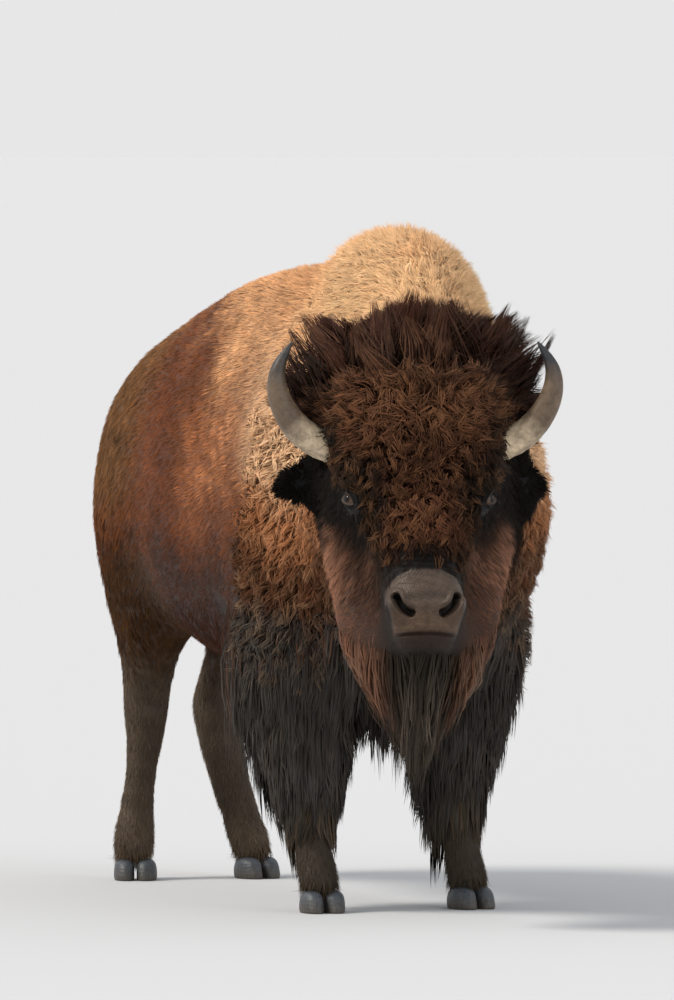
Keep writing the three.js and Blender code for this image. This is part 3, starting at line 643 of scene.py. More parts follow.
def skinColours(points):
    local, bare = onHead(points), padShare(points)
    across, rises, out = onNose(points)
    openCoat = rise(-capeEdge(points), -0.05, 0.05) * (points[:, 2] > 0.4)
    openCoat = np.maximum(openCoat, crownShare(points) * 1.4)
    onFace = rise(local[:, 1], 0.0, 0.05) * rise(local[:, 2], 0.42, 0.34) * (behindHead(points) < 0)
    openCoat = openCoat + onFace * 0.5
    colour = markings(points)
    pale = rise(colour.sum(1), 0.25, 0.9)  # gaps between pale locks are less dark
    shade = shadeSet["closed"] - (shadeSet["open"] - shadeSet["pale"] * pale) * openCoat
    colour = painted(
        colour * np.maximum(shade, shadeSet["least"])[:, None],
        ("pad", bare),
        ("padLow", bare * rise(rises, 0.0, -0.06)),
        ("lip", lipShare(points)),
        ("lid", rise(eyeReach(points), 0.05, 0.035)))
    for side in (-1, 1):  # the lids' bare edges, made paler as painted rim light, most along the lower lid
        away = points - eyeCentre(side)
        inside, forward, above = lidOpening(unit(away), side)
        edge = hill(inside, -0.03, 0.05) * (forward > 0.2) * (np.linalg.norm(away, axis=1) < 0.04)
        colour = painted(colour, ("rim", edge * np.where(above < 0, 1, 0.4)))
    # The sunken nostrils are darkened: painted shade. The pad's blotches and specks are its own mottling.
    sunk = rise(-out, 0.002, 0.020) * (np.hypot(np.abs(across) - 0.058, rises + 0.012) < 0.034)
    grain = shadeSet["blotch"] * mottle(points, 0.035, 22) + shadeSet["speck"] * mottle(points, 0.010, 23)
    # Two bands on the bare pad are lightened, one across it between the nostrils and one over its top: painted
    # highlights.
    crease = hill(rises, -0.006, 0.008) * rise(0.056 - np.abs(across), 0, 0.03) + 0.6 * hill(rises, 0.045, 0.02)
    light = (1 - shadeSet["nostril"] * sunk) * (1 + bare * grain) * (1 + shadeSet["crease"] * crease * bare)
    return colour * light[:, None]


setColours(skinMesh, "coat", skinColours(skinPoints))
setShares(skinMesh, "moist", padShare(skinPoints))

# Distances from the skin and from the coat's outside, read off two grids.
gridSet = {"cell": 0.024, "margin": 0.06}


def distanceGrid(mesh):
    cell, margin = gridSet["cell"], gridSet["margin"]
    probe = addObject("probe", mesh)
    tree = BVHTree.FromObject(probe, bpy.context.evaluated_depsgraph_get())
    bpy.data.objects.remove(probe)
    places = vertsOf(mesh)
    low, high = places.min(0) - margin, places.max(0) + margin
    counts = np.ceil((high - low) / cell).astype(int) + 1
    values = np.empty(counts, np.float32)
    flatValues = values.reshape(-1)
    axes = [low[a] + origin[a] + cell * np.arange(counts[a]) for a in range(3)]
    for index, spot in enumerate(itertools.product(*axes)):
        found, normal, face, far = tree.find_nearest(spot)
        flatValues[index] = far if (Vector(spot) - found).dot(normal) > 0 else -far
    return {"low": low, "values": np.stack([values, *np.gradient(values, cell)], axis=-1)}


def sample(grid, points):  # the distance and the way outwards
    spots = np.clip((points - grid["low"]) / gridSet["cell"], 0, np.array(grid["values"].shape[:3]) - 1.001)
    base = spots.astype(int)
    part = spots - base
    total = np.zeros((len(points), 4))
    for corner in itertools.product((0, 1), repeat=3):
        weight = np.prod(np.where(corner, part, 1 - part), axis=1)
        i, j, k = (base + corner).T
        total += weight[:, None] * grid["values"][i, j, k]
    return total[:, 0], unit(total[:, 1:])


skinGrid, hullGrid = distanceGrid(skinMesh), distanceGrid(hullMesh)
print("distance grids made")

# The skin's triangles, which the coat's roots are spread over.
skinMesh.calc_loop_triangles()
triangleVerts, triangleLoops = np.empty((2, len(skinMesh.loop_triangles) * 3), np.int32)
skinMesh.loop_triangles.foreach_get("vertices", triangleVerts)
skinMesh.loop_triangles.foreach_get("loops", triangleLoops)
skinUv = np.empty(len(skinMesh.loops) * 2, np.float32)
skinMesh.uv_layers["OFBake"].uv.foreach_get("vector", skinUv)
skinPoints, skinNormals = vertsOf(skinMesh), vertNormals(skinMesh)
triangleVerts = triangleVerts.reshape(-1, 3)
cornerUvs = skinUv.reshape(-1, 2)[triangleLoops.reshape(-1, 3)]
corners = skinPoints[triangleVerts]
middles = corners.mean(1)
areas = np.linalg.norm(np.cross(corners[:, 1] - corners[:, 0], corners[:, 2] - corners[:, 0]), axis=1) / 2

# Under the coat the skin is then thinned to fewer faces. The bare muzzle and the lids keep all of theirs.
underCoat = np.flatnonzero(~nearFeatures(skinPoints, 0)).tolist()
skinObject.vertex_groups.new(name="underCoat").add(underCoat, 1.0, "REPLACE")
thin = skinObject.modifiers.new("thin", "DECIMATE")
thin.ratio, thin.vertex_group = skinSet["kept"], "underCoat"
skinMesh = settled(skinObject)
skinObject.vertex_groups.clear()
print("skin thinned:", len(skinMesh.polygons), "faces")


def rootsOn(where, count, draw):  # places spread over the skin by the share that where gives
    weight = areas * where(middles)
    wanted = weight / weight.sum() * count
    number = wanted.astype(int) + (draw.random(len(wanted)) < wanted % 1)
    face = np.repeat(np.arange(len(wanted)), number)
    a, b = draw.random((2, len(face)))
    flip = a + b > 1
    a, b = np.where(flip, 1 - a, a), np.where(flip, 1 - b, b)
    share = np.column_stack([1 - a - b, a, b])[:, :, None]
    places = (corners[face] * share).sum(1)
    normals = unit((skinNormals[triangleVerts[face]] * share).sum(1))
    return places, normals, (cornerUvs[face] * share).sum(1)


def nearestOf(centres, points):
    tree = KDTree(len(centres))
    for index, centre in enumerate(centres):
        tree.insert(centre, index)
    tree.balance()
    return np.array([tree.find(point)[1] for point in points])


def crownRoom(points, ways):  # how far along each way the crown's outline lies
    far = np.zeros(len(points))
    for guess in range(14):
        far += np.maximum(1 - crownReach(points + ways * far[:, None]), 0) * 0.13
    return far


# Every kind of coat takes these values where its own don't say otherwise. Sizes are in metres.
coatDefaults = {
    "clump": 1, "vary": 0.3, "stray": 0.12, "lean": 0.001,  # locks to a clump, and how much they differ
    "relief": 0, "lump": 0.07,  # lumps in the coat: how high, and how wide
    "filling": False, "follow": True, "hang": 0, "hold": 0.9,  # how locks keep to the coat's outside
    "gather": 0, "taper": 1.2, "curl": 0,
    "soft": 0.6, "mixed": 0.16, "rootShade": 0.35, "tipShade": 1.25,
}
lockSet = {
    "sunk": 0.003, "start": 0.001,  # the root's depth in the skin, and the first step's height over it
    "along": (0, 0.3, 0.7, 1), "widths": (0.75, 1, 0.72, 0.2),  # a lock's outline
    "section": ((1, -0.25), (0, 0.55), (-1, -0.25)),  # its three edges, across and up
    "patch": 0.003,  # a tuft's side on the unwrap
    "leastRoom": 0.03, "mostRoom": 0.26, "past": 1.07,  # how far the crown's locks fill their room
}


def depthsAt(spot):
    return (*sample(skinGrid, spot), *sample(hullGrid, spot))


def walkLocks(look, flow, roots, normals, layer, leader, draw):  # each lock's middle line, and its length
    count, steps, vary = len(roots), look["rings"], look["vary"]
    path, spot = [roots - normals * lockSet["sunk"]], roots + normals * lockSet["start"]
    swing = draw.normal(scale=look["stray"], size=(count, 3))
    ways = unit(flow(roots, normals) + swing + draw.normal(scale=look["lean"], size=(count, 3))[leader])
    lengths = look["length"] * draw.uniform(1 - vary, 1 + vary, count)
    if look["filling"]:  # as long as the room up to the coat's outside
        room = crownRoom(spot, ways) * lockSet["past"]
        lengths *= np.clip(room, lockSet["leastRoom"], lockSet["mostRoom"]) / look["length"]
    if "longer" in look:
        lengths *= look["longer"](roots)
    for step in range(1, steps + 1):
        s = step / steps
        outward = normals
        if look["follow"]:
            skinFar, skinWay, hullFar, hullWay = depthsAt(spot)
            outward = unit(skinWay * (1 - s) + hullWay * s)
        along = flow(spot, outward) if step > 1 else ways
        along = unit(along * 0.7 + ways * 0.3)
        ways = unit(along - outward * ((along * outward).sum(1) * (1 - look["hang"]))[:, None])
        spot = spot + ways * (lengths / steps)[:, None]
        if look["follow"]:  # up to its own layer between the skin and the outside
            skinFar, skinWay, hullFar, hullWay = depthsAt(spot)
            wanted = -hullFar - (1 - layer * min(1, s * 1.8) ** 0.8) * np.maximum(skinFar - hullFar, 0.004)
            lifted = np.clip(wanted, -0.05, 0.05) * look["hold"]
        else:
            lifted = look["lift"] * lengths / steps * (1.6 - 1.3 * s)
        spot = spot + outward * lifted[:, None]
        path.append(spot)
    return np.stack(path, axis=1), lengths


def sidesOf(path, normals):  # across and up at each ring of a lock
    tangent = unit(np.gradient(path, axis=1))
    across = unit(np.cross(normals[:, None, :] * np.ones_like(path), tangent))
    return across, np.cross(tangent, across)


def bladeMesh(name, vertices, steps):  # closed three-sided blades that taper to a point
    count, perLock = vertices.shape[:2]
    triangles = [(0, 2, 1)]
    for step in range(steps - 1):
        for i in range(3):
            a, b = step * 3 + i, step * 3 + (i + 1) % 3
            triangles += [(a, b, b + 3), (a, b + 3, a + 3)]
    last = (steps - 1) * 3
    triangles += [(last + i, last + (i + 1) % 3, steps * 3) for i in range(3)]
    faces = (np.array(triangles)[None] + (np.arange(count) * perLock)[:, None, None]).reshape(-1)
    mesh = bpy.data.meshes.new(name)
    mesh.vertices.add(count * perLock)
    mesh.loops.add(len(faces))
    mesh.polygons.add(len(faces) // 3)
    mesh.vertices.foreach_set("co", (vertices + origin).astype(np.float32).ravel())
    mesh.loops.foreach_set("vertex_index", faces.astype(np.int32))
    mesh.polygons.foreach_set("loop_start", np.arange(0, len(faces), 3, dtype=np.int32))
    mesh.update(calc_edges=True)
    smoothShade(mesh)
    return mesh, faces


def growCoat(name, look, where, flow, material):
    look = {**coatDefaults, **look}
    draw = np.random.default_rng(look["seed"])
    roots, normals, uvs = rootsOn(where, look["locks"], draw)
    count, steps = len(roots), look["rings"]
    leader = leaders = np.arange(0, count, look["clump"])
    if look["clump"] > 1:
        leader = leaders[nearestOf(roots[leaders], roots)]
    lumps = look["relief"] * mottle(roots, look["lump"], 7)
    layer = draw.uniform(*look["layers"], count) + lumps
    if "raised" in look:
        layer = layer + look["raised"](roots)
    path, lengths = walkLocks(look, flow, roots, normals, layer, leader, draw)
    for step in range(1, steps + 1):  # locks gather into pointed clumps round the path of one of them
        pull = look["gather"] * (step / steps) ** look["taper"]
        path[:, step] += (path[leader, step] - path[:, step]) * pull
    side, top = sidesOf(path, normals)
    s = np.linspace(0, 1, steps + 1)
    if look["curl"]:  # each clump winds its own way, and each lock a little off it
        phase = draw.uniform(0, wholeTurn, count)[leader] + draw.normal(scale=0.5, size=count)
        spin = (draw.choice([-1, 1], count) * draw.uniform(0.7, 1.3, count))[leader] * look["turns"] * 2 * math.pi
        angle = phase[:, None] + spin[:, None] * s
        size = look["curl"] * draw.uniform(0.6, 1.3, count)[:, None] * s ** 0.7
        path += side * (np.cos(angle) * size)[..., None] + top * ((np.sin(angle) * 0.8 + 0.25) * size)[..., None]
        side, top = sidesOf(path, normals)
    profile = np.interp(s[:steps], lockSet["along"], lockSet["widths"])
    width = (look["width"] * draw.uniform(0.7, 1.3, count)[:, None] * profile / 2)[..., None]
    rings = np.stack([
        path[:, :steps] + side[:, :steps] * width * across + top[:, :steps] * width * above
        for across, above in lockSet["section"]], axis=2)
    perLock = steps * 3 + 1
    vertices = np.concatenate([rings.reshape(count, steps * 3, 3), path[:, steps:]], axis=1)
    mesh, faces = bladeMesh(name, vertices, steps)
    # Each lock takes most of its light from the way the hide under it faces, so the coat shades softly.
    shading = vertNormals(mesh) * (1 - look["soft"]) + np.repeat(normals, perLock, axis=0) * look["soft"]
    mesh.normals_split_custom_set_from_vertices(unit(shading).astype(np.float32))
    # Colour: dark at the root and in the coat's hollows and lighter on its lumps, as painted shade and light; full at
    # the tip; and a little different from lock to lock and clump to clump.
    varied = look.get("varied", look["mixed"])
    spread = look["mixed"] * draw.normal(size=count) + varied * draw.normal(size=count)[leader] + lumps
    warm = draw.normal(size=count)[:, None] * np.array([0.05, 0.0, -0.05])
    colour = np.clip(markings(roots) * (1 + spread)[:, None] * (1 + warm), 0.002, 1)
    fade = np.append(np.repeat(s[:steps], 3), 1)[None, :, None]
    low, tip = look["rootShade"], look["tipShade"]
    shaded = colour[:, None, :] * (low + (1 - low) * np.minimum(fade * 1.6, 1) + (tip - 1) * fade ** 2)
    if "frost" in look:  # some clumps have paler, sun-bleached ends
        share = (draw.random(count) ** 2)[leader][:, None, None] * fade ** 1.5 * look["frosted"]
        shaded = shaded + (linear(look["frost"]) - shaded) * share
    setColours(mesh, "coat", shaded.reshape(-1, 3))
    # Across the lock, along it, and a number of its own, for the strands in its material.
    strand = np.zeros((count, perLock, 3), np.float32)
    strand[:, :, 0] = np.append(np.tile([0, 0.5, 1], steps), 0.5)
    strand[:, :, 1] = fade[:, :, 0] * lengths[:, None]
    strand[:, :, 2] = draw.uniform(0, 50, count)[:, None]
    mesh.attributes.new("strand", "FLOAT_VECTOR", "POINT").data.foreach_set("vector", strand.ravel())
    patch = np.stack([np.broadcast_to(fade[:, :, 0], (count, perLock)), strand[:, :, 0]], axis=-1) - 0.5
    patch = (uvs[:, None, :] + patch * lockSet["patch"]).reshape(-1, 2)
    mesh.uv_layers.new(name="OFBake").uv.foreach_set("vector", patch[faces].astype(np.float32).ravel())
    obj = addObject(name, mesh)
    mesh.materials.append(material)
    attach(obj, "root")
    print(name, count, "locks,", len(faces) // 3, "triangles")


def join(node, **sources):  # sources by socket, with _ for a space
    for socket, source in sources.items():
        node.id_data.links.new(source, node.inputs[socket.replace("_", " ")])


def addNode(tree, kind, settings=None, **sources):
    node = tree.nodes.new(kind)
    for key, value in (settings or {}).items():
        if hasattr(node, key):
            setattr(node, key, value)
        else:
            node.inputs[key].default_value = value
    join(node, **sources)
    return node


def newMaterial(name, **settings):
    material = bpy.data.materials.new(name)
    material.use_nodes = True
    shader = material.node_tree.nodes["Principled BSDF"]
    for key, value in settings.items():
        shader.inputs[key.replace("_", " ")].default_value = value
    return material, material.node_tree, shader


def patterned(shader, colour, pattern, shades, strength, depth, height=None):  # shade and bump from a pattern
    tree = shader.id_data
    light = addNode(tree, "ShaderNodeMapRange", shades, Value=pattern)
    mixed = addNode(tree, "ShaderNodeVectorMath", {"operation": "SCALE"}, Vector=colour, Scale=light.outputs[0])
    height = pattern if height is None else height
    bump = addNode(tree, "ShaderNodeBump", {"Strength": strength, "Distance": depth}, Height=height)
    join(shader, Base_Color=mixed.outputs[0], Normal=bump.outputs[0])


def fromNoise(low, high, darkest, lightest):
    return {"From Min": low, "From Max": high, "To Min": darkest, "To Max": lightest}


def hairMaterial(name, sheen, roughness, specular, strength):
    material, tree, shader = newMaterial(
        name, Roughness=roughness, Specular_IOR_Level=specular, Sheen_Weight=sheen, Sheen_Roughness=0.5,
        Sheen_Tint=(1, 0.86, 0.72, 1), Specular_Tint=(1, 0.84, 0.68, 1))
    colour = addNode(tree, "ShaderNodeAttribute", {"attribute_name": "coat"})
    strand = addNode(tree, "ShaderNodeAttribute", {"attribute_name": "strand"})
    # Strands run along each lock: seven across its width, and about 50 mm long.
    spread = addNode(tree, "ShaderNodeVectorMath", {"operation": "MULTIPLY"}, Vector=strand.outputs["Vector"])
    spread.inputs[1].default_value = (7, 18, 3)
    strands = addNode(tree, "ShaderNodeTexNoise", {"Scale": 1.0, "Detail": 2.0}, Vector=spread.outputs[0])
    patterned(shader, colour.outputs["Color"], strands.outputs[0], fromNoise(0.3, 0.7, 0.65, 1.35), strength, 0.002)
    return material


# Crimped underwool: dull, with a pale halo of fibre ends.
wool = hairMaterial("curled bison wool", 0.06, 0.85, 0.08, 0.5)
# Straight guard hair: smoother, so it catches a soft line of light along each lock.
guardHair = hairMaterial("straight guard hair", 0.02, 0.65, 0.09, 0.4)
# Long beard and foreleg hair: coarse and slightly greasy, with a cold gloss.
longHair = hairMaterial("long coarse hair", 0.02, 0.55, 0.13, 0.5)

# Hide: matt skin with its own fine short hair as bump, bare, cobbled and a little moist on the nose.
hide, tree, shader = newMaterial("short haired hide", Roughness=0.6, Specular_IOR_Level=0.2, Sheen_Weight=0.02)
colour = addNode(tree, "ShaderNodeAttribute", {"attribute_name": "coat"})
place = addNode(tree, "ShaderNodeTexCoord")
hairs = addNode(tree, "ShaderNodeTexNoise", {"Scale": 260.0, "Detail": 3.0}, Vector=place.outputs["Object"])  # 4 mm
cobbles = addNode(tree, "ShaderNodeTexVoronoi", {"Scale": 230.0}, Vector=place.outputs["Object"])  # 4 mm
heights = addNode(tree, "ShaderNodeMath", {"operation": "ADD"})
tree.links.new(hairs.outputs[0], heights.inputs[0])
tree.links.new(cobbles.outputs["Distance"], heights.inputs[1])
patterned(shader, colour.outputs["Color"], hairs.outputs[0], fromNoise(0.0, 1.0, 0.75, 1.25), 0.6, 0.0015,
          heights.outputs[0])
moist = addNode(tree, "ShaderNodeAttribute", {"attribute_name": "moist"})
gloss = addNode(tree, "ShaderNodeMapRange", {"To Min": 0.65, "To Max": 0.42}, Value=moist.outputs["Fac"])
join(shader, Roughness=gloss.outputs[0])
skinMesh.materials.clear()
skinMesh.materials.append(hide)
skinObject.name = "hide"
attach(skinObject, "root")
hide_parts(*fleshNodes)


# How each kind of coat lies: a way for each place, given the way out of the coat there.
def bodyFlow(points, outward):  # back along the trunk, and down over the ribs, rump and legs
    x, y, z = points.T
    downward = 0.35 + 0.9 * rise(y, 0.9, 1.35) + 1.5 * rise(z, 0.85, 0.65) - 0.25 * rise(z, 1.4, 1.6)
    sway = 0.16 * mottle(points, 0.30, 8)
    backward = 1 - 0.75 * rise(y, 1.0, 1.35) - 0.9 * rise(z, 0.85, 0.6)
    return np.column_stack([sway * 0.4, backward, sway - downward])


def capeFlow(points, outward):
    x, y, z = points.T
    back = 0.15 + 0.55 * rise(z, 1.2, 1.5)
    sway = 0.30 * mottle(points, 0.16, 9)
    return np.column_stack([np.sign(x) * 0.15 + sway, back, -1 + 0.5 * rise(z, 1.4, 1.7) + sway * 0.5])


def fallFlow(points, outward):
    sway = 0.10 * mottle(points, 0.12, 10)
    return np.column_stack([sway, 0.05 + sway, np.full(len(points), -1.0)]) + outward * 0.10


def headFlow(points, outward):  # down the face and out to its sides
    left, out, down = onHead(points).T
    sway = 0.25 * mottle(points, 0.08, 12)
    fall = -0.5 + 1.5 * rise(down, -0.06, 0.16)
    return headLeft * (left * 3 + sway)[:, None] + faceDown * fall[:, None] - up * 0.2


def cheekFlow(points, outward):
    sway = 0.2 * mottle(points, 0.08, 13)
    return headLeft * (np.sign(onHead(points)[:, 0]) * 0.25 + sway)[:, None] - up * 0.9 - heading * 0.35


def muzzleFlow(points, outward):  # away from the nose pad
    across, rises, out = onNose(points)
    return unit(headLeft * across[:, None] + noseUp * (rises + 0.02)[:, None]) - noseOut * 0.6 - up * 0.15


def bonnetFlow(points, outward):  # out from the crown like rays
    left, back, high = onLevel(points).T
    sway = 0.05 * mottle(points, 0.07, 14)
    level = headLeft * (left * 1.1 + sway)[:, None] - heading * ((back - 0.02) * 0.7)[:, None]
    return level + up * (0.05 + np.maximum(high, 0.06))[:, None]


def beardFlow(points, outward):
    return -up + headLeft * (0.10 * mottle(points, 0.05, 15))[:, None] + outward * 0.08


def earFlow(points, outward):  # out from the leaf's middle to its rim, and drooping
    side = np.sign(onLevel(points)[:, 0])
    rays = np.zeros_like(points)
    for label in (-1, 1):
        turned = np.array(earFrame(label))[:3, :3]
        rays += unit(onEar(points, label) * [1, 0.5, 1]) @ turned.T * (side == label)[:, None]
    return rays + headLeft * (side * 0.45)[:, None] - up * 0.30


def legFlow(points, outward):
    return np.tile([0.0, 0.12, -1.0], (len(points), 1))


# Where each kind of coat grows: a share for each place.
def notEar(points):
    return earShare(points) < 0.3


def inCrown(points):
    left, back, high = onLevel(points).T
    top = (overBrow(points) > -0.012) & ((behindHead(points) < 0.03) | (crownReach(points, crownMasses[:1]) < 1.0))
    return top | ((crownReach(points, crownMasses[1:]) < 1.02) & (high > 0.01) & (np.abs(left) > 0.12))


def onBody(points):
    return (behindHead(points) > 0) & notEar(points) & ~inCrown(points)


def inFace(points):
    return (behindHead(points) < 0.01) & (overBrow(points) < 0.01) & notEar(points)


def isFore(points):
    return (points[:, 1] < 0.42) & (behindHead(points) > 0)


def isTail(points):
    return (points[:, 1] > 1.575) & (points[:, 2] < 1.38)


def bareFace(points):  # nothing grows on the nose pad, in the mouth or on the eyes
    across, rises, out = onNose(points)
    mouth = (np.abs(rises + 0.088) < 0.010) & (np.abs(across) < 0.085) & (out > -0.06)
    return (padShare(points) > 0.4) | mouth | (eyeReach(points) < 0.034)


def whereForehead(points):
    left, out, down = onHead(points).T
    return inFace(points) * rise(out, 0.0, 0.05) * rise(down, 0.41, 0.33) * rise(eyeReach(points), 0.045, 0.07)


def whereCheeks(points):
    grown = inFace(points) * ~bareFace(points) * (1 - whereForehead(points) * 0.7)
    return grown * rise(onHead(points)[:, 2], 0.50, 0.42) * (points[:, 2] > 0.70)


def whereMuzzle(points):
    grown = inFace(points) * ~bareFace(points) * rise(onHead(points)[:, 2], 0.40, 0.46)
    return grown * (1 - 0.6 * (lipShare(points) > 0.5))


def whereBeard(points):
    low = rise(points[:, 2], 0.80, 0.74) * (points[:, 2] > 0.45) * (behindHead(points) < 0.02)
    under = (onNose(points)[1] < -0.125) | (onHead(points)[:, 1] < -0.10)
    return low * ~bareFace(points) * (lipShare(points) <= 0.3) * under


def whereBonnet(points):
    return (inCrown(points) & notEar(points)) * (1 + 0.9 * rise(np.abs(onLevel(points)[:, 0]), 0.11, 0.16))


def whereTrunk(points):
    x, y, z = points.T
    fade = 0.05 + 0.16 * rise(z, 1.2, 1.45)  # the two coats run into each other over the back
    return onBody(points) * rise(capeEdge(points), -fade, fade * 0.5) * rise(y, 1.15, 0.95) * rise(z, 0.30, 0.36)


def whereRump(points):
    return onBody(points) * rise(points[:, 1], 0.95, 1.15) * rise(points[:, 2], 0.50, 0.60) * ~isTail(points)


def whereMane(points):
    fade = 0.05 + 0.14 * rise(points[:, 2], 1.2, 1.45)
    return onBody(points) * rise(-capeEdge(points), -fade * 0.6, fade) * rise(points[:, 2], 0.58, 0.70)


def whereHump(points):
    return whereMane(points) * rise(points[:, 2], 1.38, 1.46)


def whereCape(points):  # below the hump
    return whereMane(points) * (1 - whereHump(points) * 0.85)


def whereChaps(points):
    x, y, z = points.T
    return isFore(points) * rise(z, 0.84, 0.74) * rise(z, 0.27, 0.34) * rise(np.abs(x), 0.06, 0.10) * (y < 0.24)


def whereChest(points):
    x, y, z = points.T
    return isFore(points) * rise(z, 0.92, 0.80) * rise(np.abs(x), 0.16, 0.09) * (y < 0.25)


def whereShanks(points):
    x, y, z = points.T
    return (y > 0.9) * rise(z, 0.62, 0.50) * ~isTail(points) + (y < 0.42) * rise(z, 0.40, 0.30)


def raisedHump(points):  # longer hair behind the hump's top
    return hill(points[:, 1], 0.36, 0.24) * rise(points[:, 2], 1.58, 1.66)


def onSide(sign, where):
    return lambda p: where(p) * (p[:, 0] * sign > 0)


print("growing the coat")
growCoat("coat_hump", {
    "locks": 27000, "length": 0.038, "width": 0.0046, "rings": 1, "layers": (0.6, 1.75), "raised": raisedHump,
    "longer": lambda p: 0.75 + 0.25 * rise(-capeEdge(p), 0.0, 0.2),
    "clump": 8, "gather": 0.45, "curl": 0.006, "turns": 0.7, "stray": 0.3, "lean": 0.35, "mixed": 0.06,
    "relief": 0.12, "lump": 0.045, "soft": 0.7, "rootShade": 0.5, "seed": 101,
}, whereHump, capeFlow, wool)

bothSides = {  # each kind with its look, where it grows, its lie, its slot, its hair
    "back": ({
        "locks": 21000, "length": 0.046, "width": 0.0054, "rings": 1, "layers": (0.25, 0.85), "raised": raisedHump,
        "clump": 9, "gather": 0.4, "mixed": 0.08, "varied": 0.12, "relief": 0.16, "lump": 0.09,
        "soft": 0.7, "rootShade": 0.6, "tipShade": 1.1, "seed": 102,
    }, whereTrunk, bodyFlow, "brown_flank", guardHair),
    "rump": ({
        "locks": 15500, "length": 0.040, "width": 0.0052, "rings": 1, "layers": (0.25, 0.9),
        "clump": 10, "gather": 0.45, "stray": 0.14, "mixed": 0.10, "varied": 0.14, "relief": 0.18, "lump": 0.08,
        "soft": 0.7, "rootShade": 0.5, "tipShade": 1.15, "seed": 103,
    }, whereRump, bodyFlow, "brown_flank", guardHair),
    "cape": ({
        "locks": 14600, "length": 0.044, "width": 0.0046, "rings": 2, "layers": (0.45, 1.0),
        "longer": lambda p: 0.5 + 0.5 * rise(-capeEdge(p), 0.0, 0.15) * rise(p[:, 2], 1.30, 1.08),
        "clump": 10, "gather": 0.6, "curl": 0.013, "turns": 0.7, "stray": 0.3, "lean": 0.4, "mixed": 0.08,
        "varied": 0.10, "relief": 0.20, "lump": 0.055, "rootShade": 0.5, "tipShade": 1.22,
        "frost": "e0b48a", "frosted": 0.3, "seed": 104,
    }, whereCape, capeFlow, "red_brown_mane", wool),
    "chaps": ({
        "locks": 6000, "length": 0.165, "width": 0.0068, "rings": 3, "layers": (0.15, 1.05),
        "longer": lambda p: (1 - 0.45 * rise(p[:, 1], -0.06, -0.12) * rise(p[:, 2], 0.55, 0.40)
                             + 0.75 * rise(p[:, 1], 0.0, 0.12)),
        "clump": 14, "gather": 0.6, "curl": 0.007, "turns": 0.6, "stray": 0.10, "lean": 0.08, "mixed": 0.10,
        "varied": 0.15, "soft": 0.7, "hang": 0.9, "hold": 0.35, "rootShade": 0.4, "vary": 0.4, "seed": 110,
    }, whereChaps, fallFlow, "dark_leg", longHair),
}
for label, sign in (("left", 1), ("right", -1)):
    for part, (look, where, flow, slot, hair) in bothSides.items():
        look = {**look, "seed": look["seed"] + (20 if sign < 0 else 0)}
        growCoat(f"coat_{part}_{label}", look, onSide(sign, where), flow, hair)

growCoat("coat_forehead", {
    "locks": 13100, "length": 0.044, "width": 0.0040, "rings": 2, "layers": (0.4, 1.0),
    "clump": 10, "gather": 0.66, "curl": 0.017, "turns": 0.6, "stray": 0.32, "lean": 0.5, "mixed": 0.10,
    "varied": 0.16, "relief": 0.30, "lump": 0.034, "rootShade": 0.05, "frost": "9c6c48", "frosted": 0.5, "seed": 105,
}, whereForehead, headFlow, wool)
growCoat("coat_bonnet", {
    "locks": 9000, "length": 0.15, "width": 0.0050, "rings": 3, "layers": (0.45, 1.0), "filling": True,
    "clump": 30, "gather": 0.88, "taper": 1.5, "curl": 0.008, "turns": 0.6, "stray": 0.09, "lean": 0.20,
    "mixed": 0.08, "varied": 0.16, "soft": 0.4, "hang": 1.0, "hold": 0.0, "rootShade": 0.08, "vary": 0.14,
    "frost": "5c3a2a", "frosted": 0.4, "seed": 116,
}, whereBonnet, bonnetFlow, longHair)
growCoat("coat_cheeks", {
    "locks": 18000, "length": 0.032, "width": 0.0042, "rings": 1, "layers": (0.4, 1.0),
    "clump": 9, "gather": 0.5, "stray": 0.15, "mixed": 0.12, "varied": 0.16, "relief": 0.16, "lump": 0.04,
    "rootShade": 0.5, "seed": 107,
}, whereCheeks, cheekFlow, guardHair)
growCoat("coat_muzzle", {
    "locks": 9000, "length": 0.013, "width": 0.0026, "rings": 1, "layers": (0.6, 1.0),
    "longer": lambda p: 1 + 1.3 * rise(-onNose(p)[1], 0.10, 0.15),
    "follow": False, "lift": 0.30, "stray": 0.15, "rootShade": 0.5, "seed": 108,
}, whereMuzzle, muzzleFlow, guardHair)
growCoat("coat_beard", {
    "locks": 3300, "length": 0.24, "width": 0.0052, "rings": 4, "layers": (0.1, 1.0),
    "longer": lambda p: 0.55 + 0.75 * hill(onLevel(p)[:, 0], 0, 0.13),
    "clump": 9, "gather": 0.6, "curl": 0.011, "turns": 0.9, "stray": 0.05, "lean": 0.06,
    "hang": 1.0, "hold": 0.6, "rootShade": 0.4, "vary": 0.4, "frost": "8c7c6a", "frosted": 0.6, "seed": 109,
}, whereBeard, beardFlow, longHair)
growCoat("coat_chest", {
    "locks": 3000, "length": 0.20, "width": 0.0082, "rings": 3, "layers": (0.1, 1.0),
    "clump": 14, "gather": 0.6, "curl": 0.007, "turns": 0.6, "soft": 0.7,
    "hang": 0.9, "hold": 0.6, "rootShade": 0.4, "vary": 0.4, "seed": 111,
}, whereChest, fallFlow, longHair)
growCoat("coat_shanks", {
    "locks": 18000, "length": 0.030, "width": 0.0044, "rings": 1, "layers": (0.5, 1.0),
    "longer": lambda p: 1 + 0.7 * rise(p[:, 2], 0.11, 0.085),
    "follow": False, "lift": 0.30, "mixed": 0.12, "rootShade": 0.6, "seed": 112,
}, whereShanks, legFlow, guardHair)
growCoat("coat_ears", {
    "locks": 4000, "length": 0.036, "width": 0.0038, "rings": 2, "layers": (0.5, 1.0),
    "clump": 8, "gather": 0.4, "follow": False, "lift": 0.35, "stray": 0.15, "lean": 0.15, "seed": 113,
}, lambda p: earShare(p) > 0.3, earFlow, guardHair)
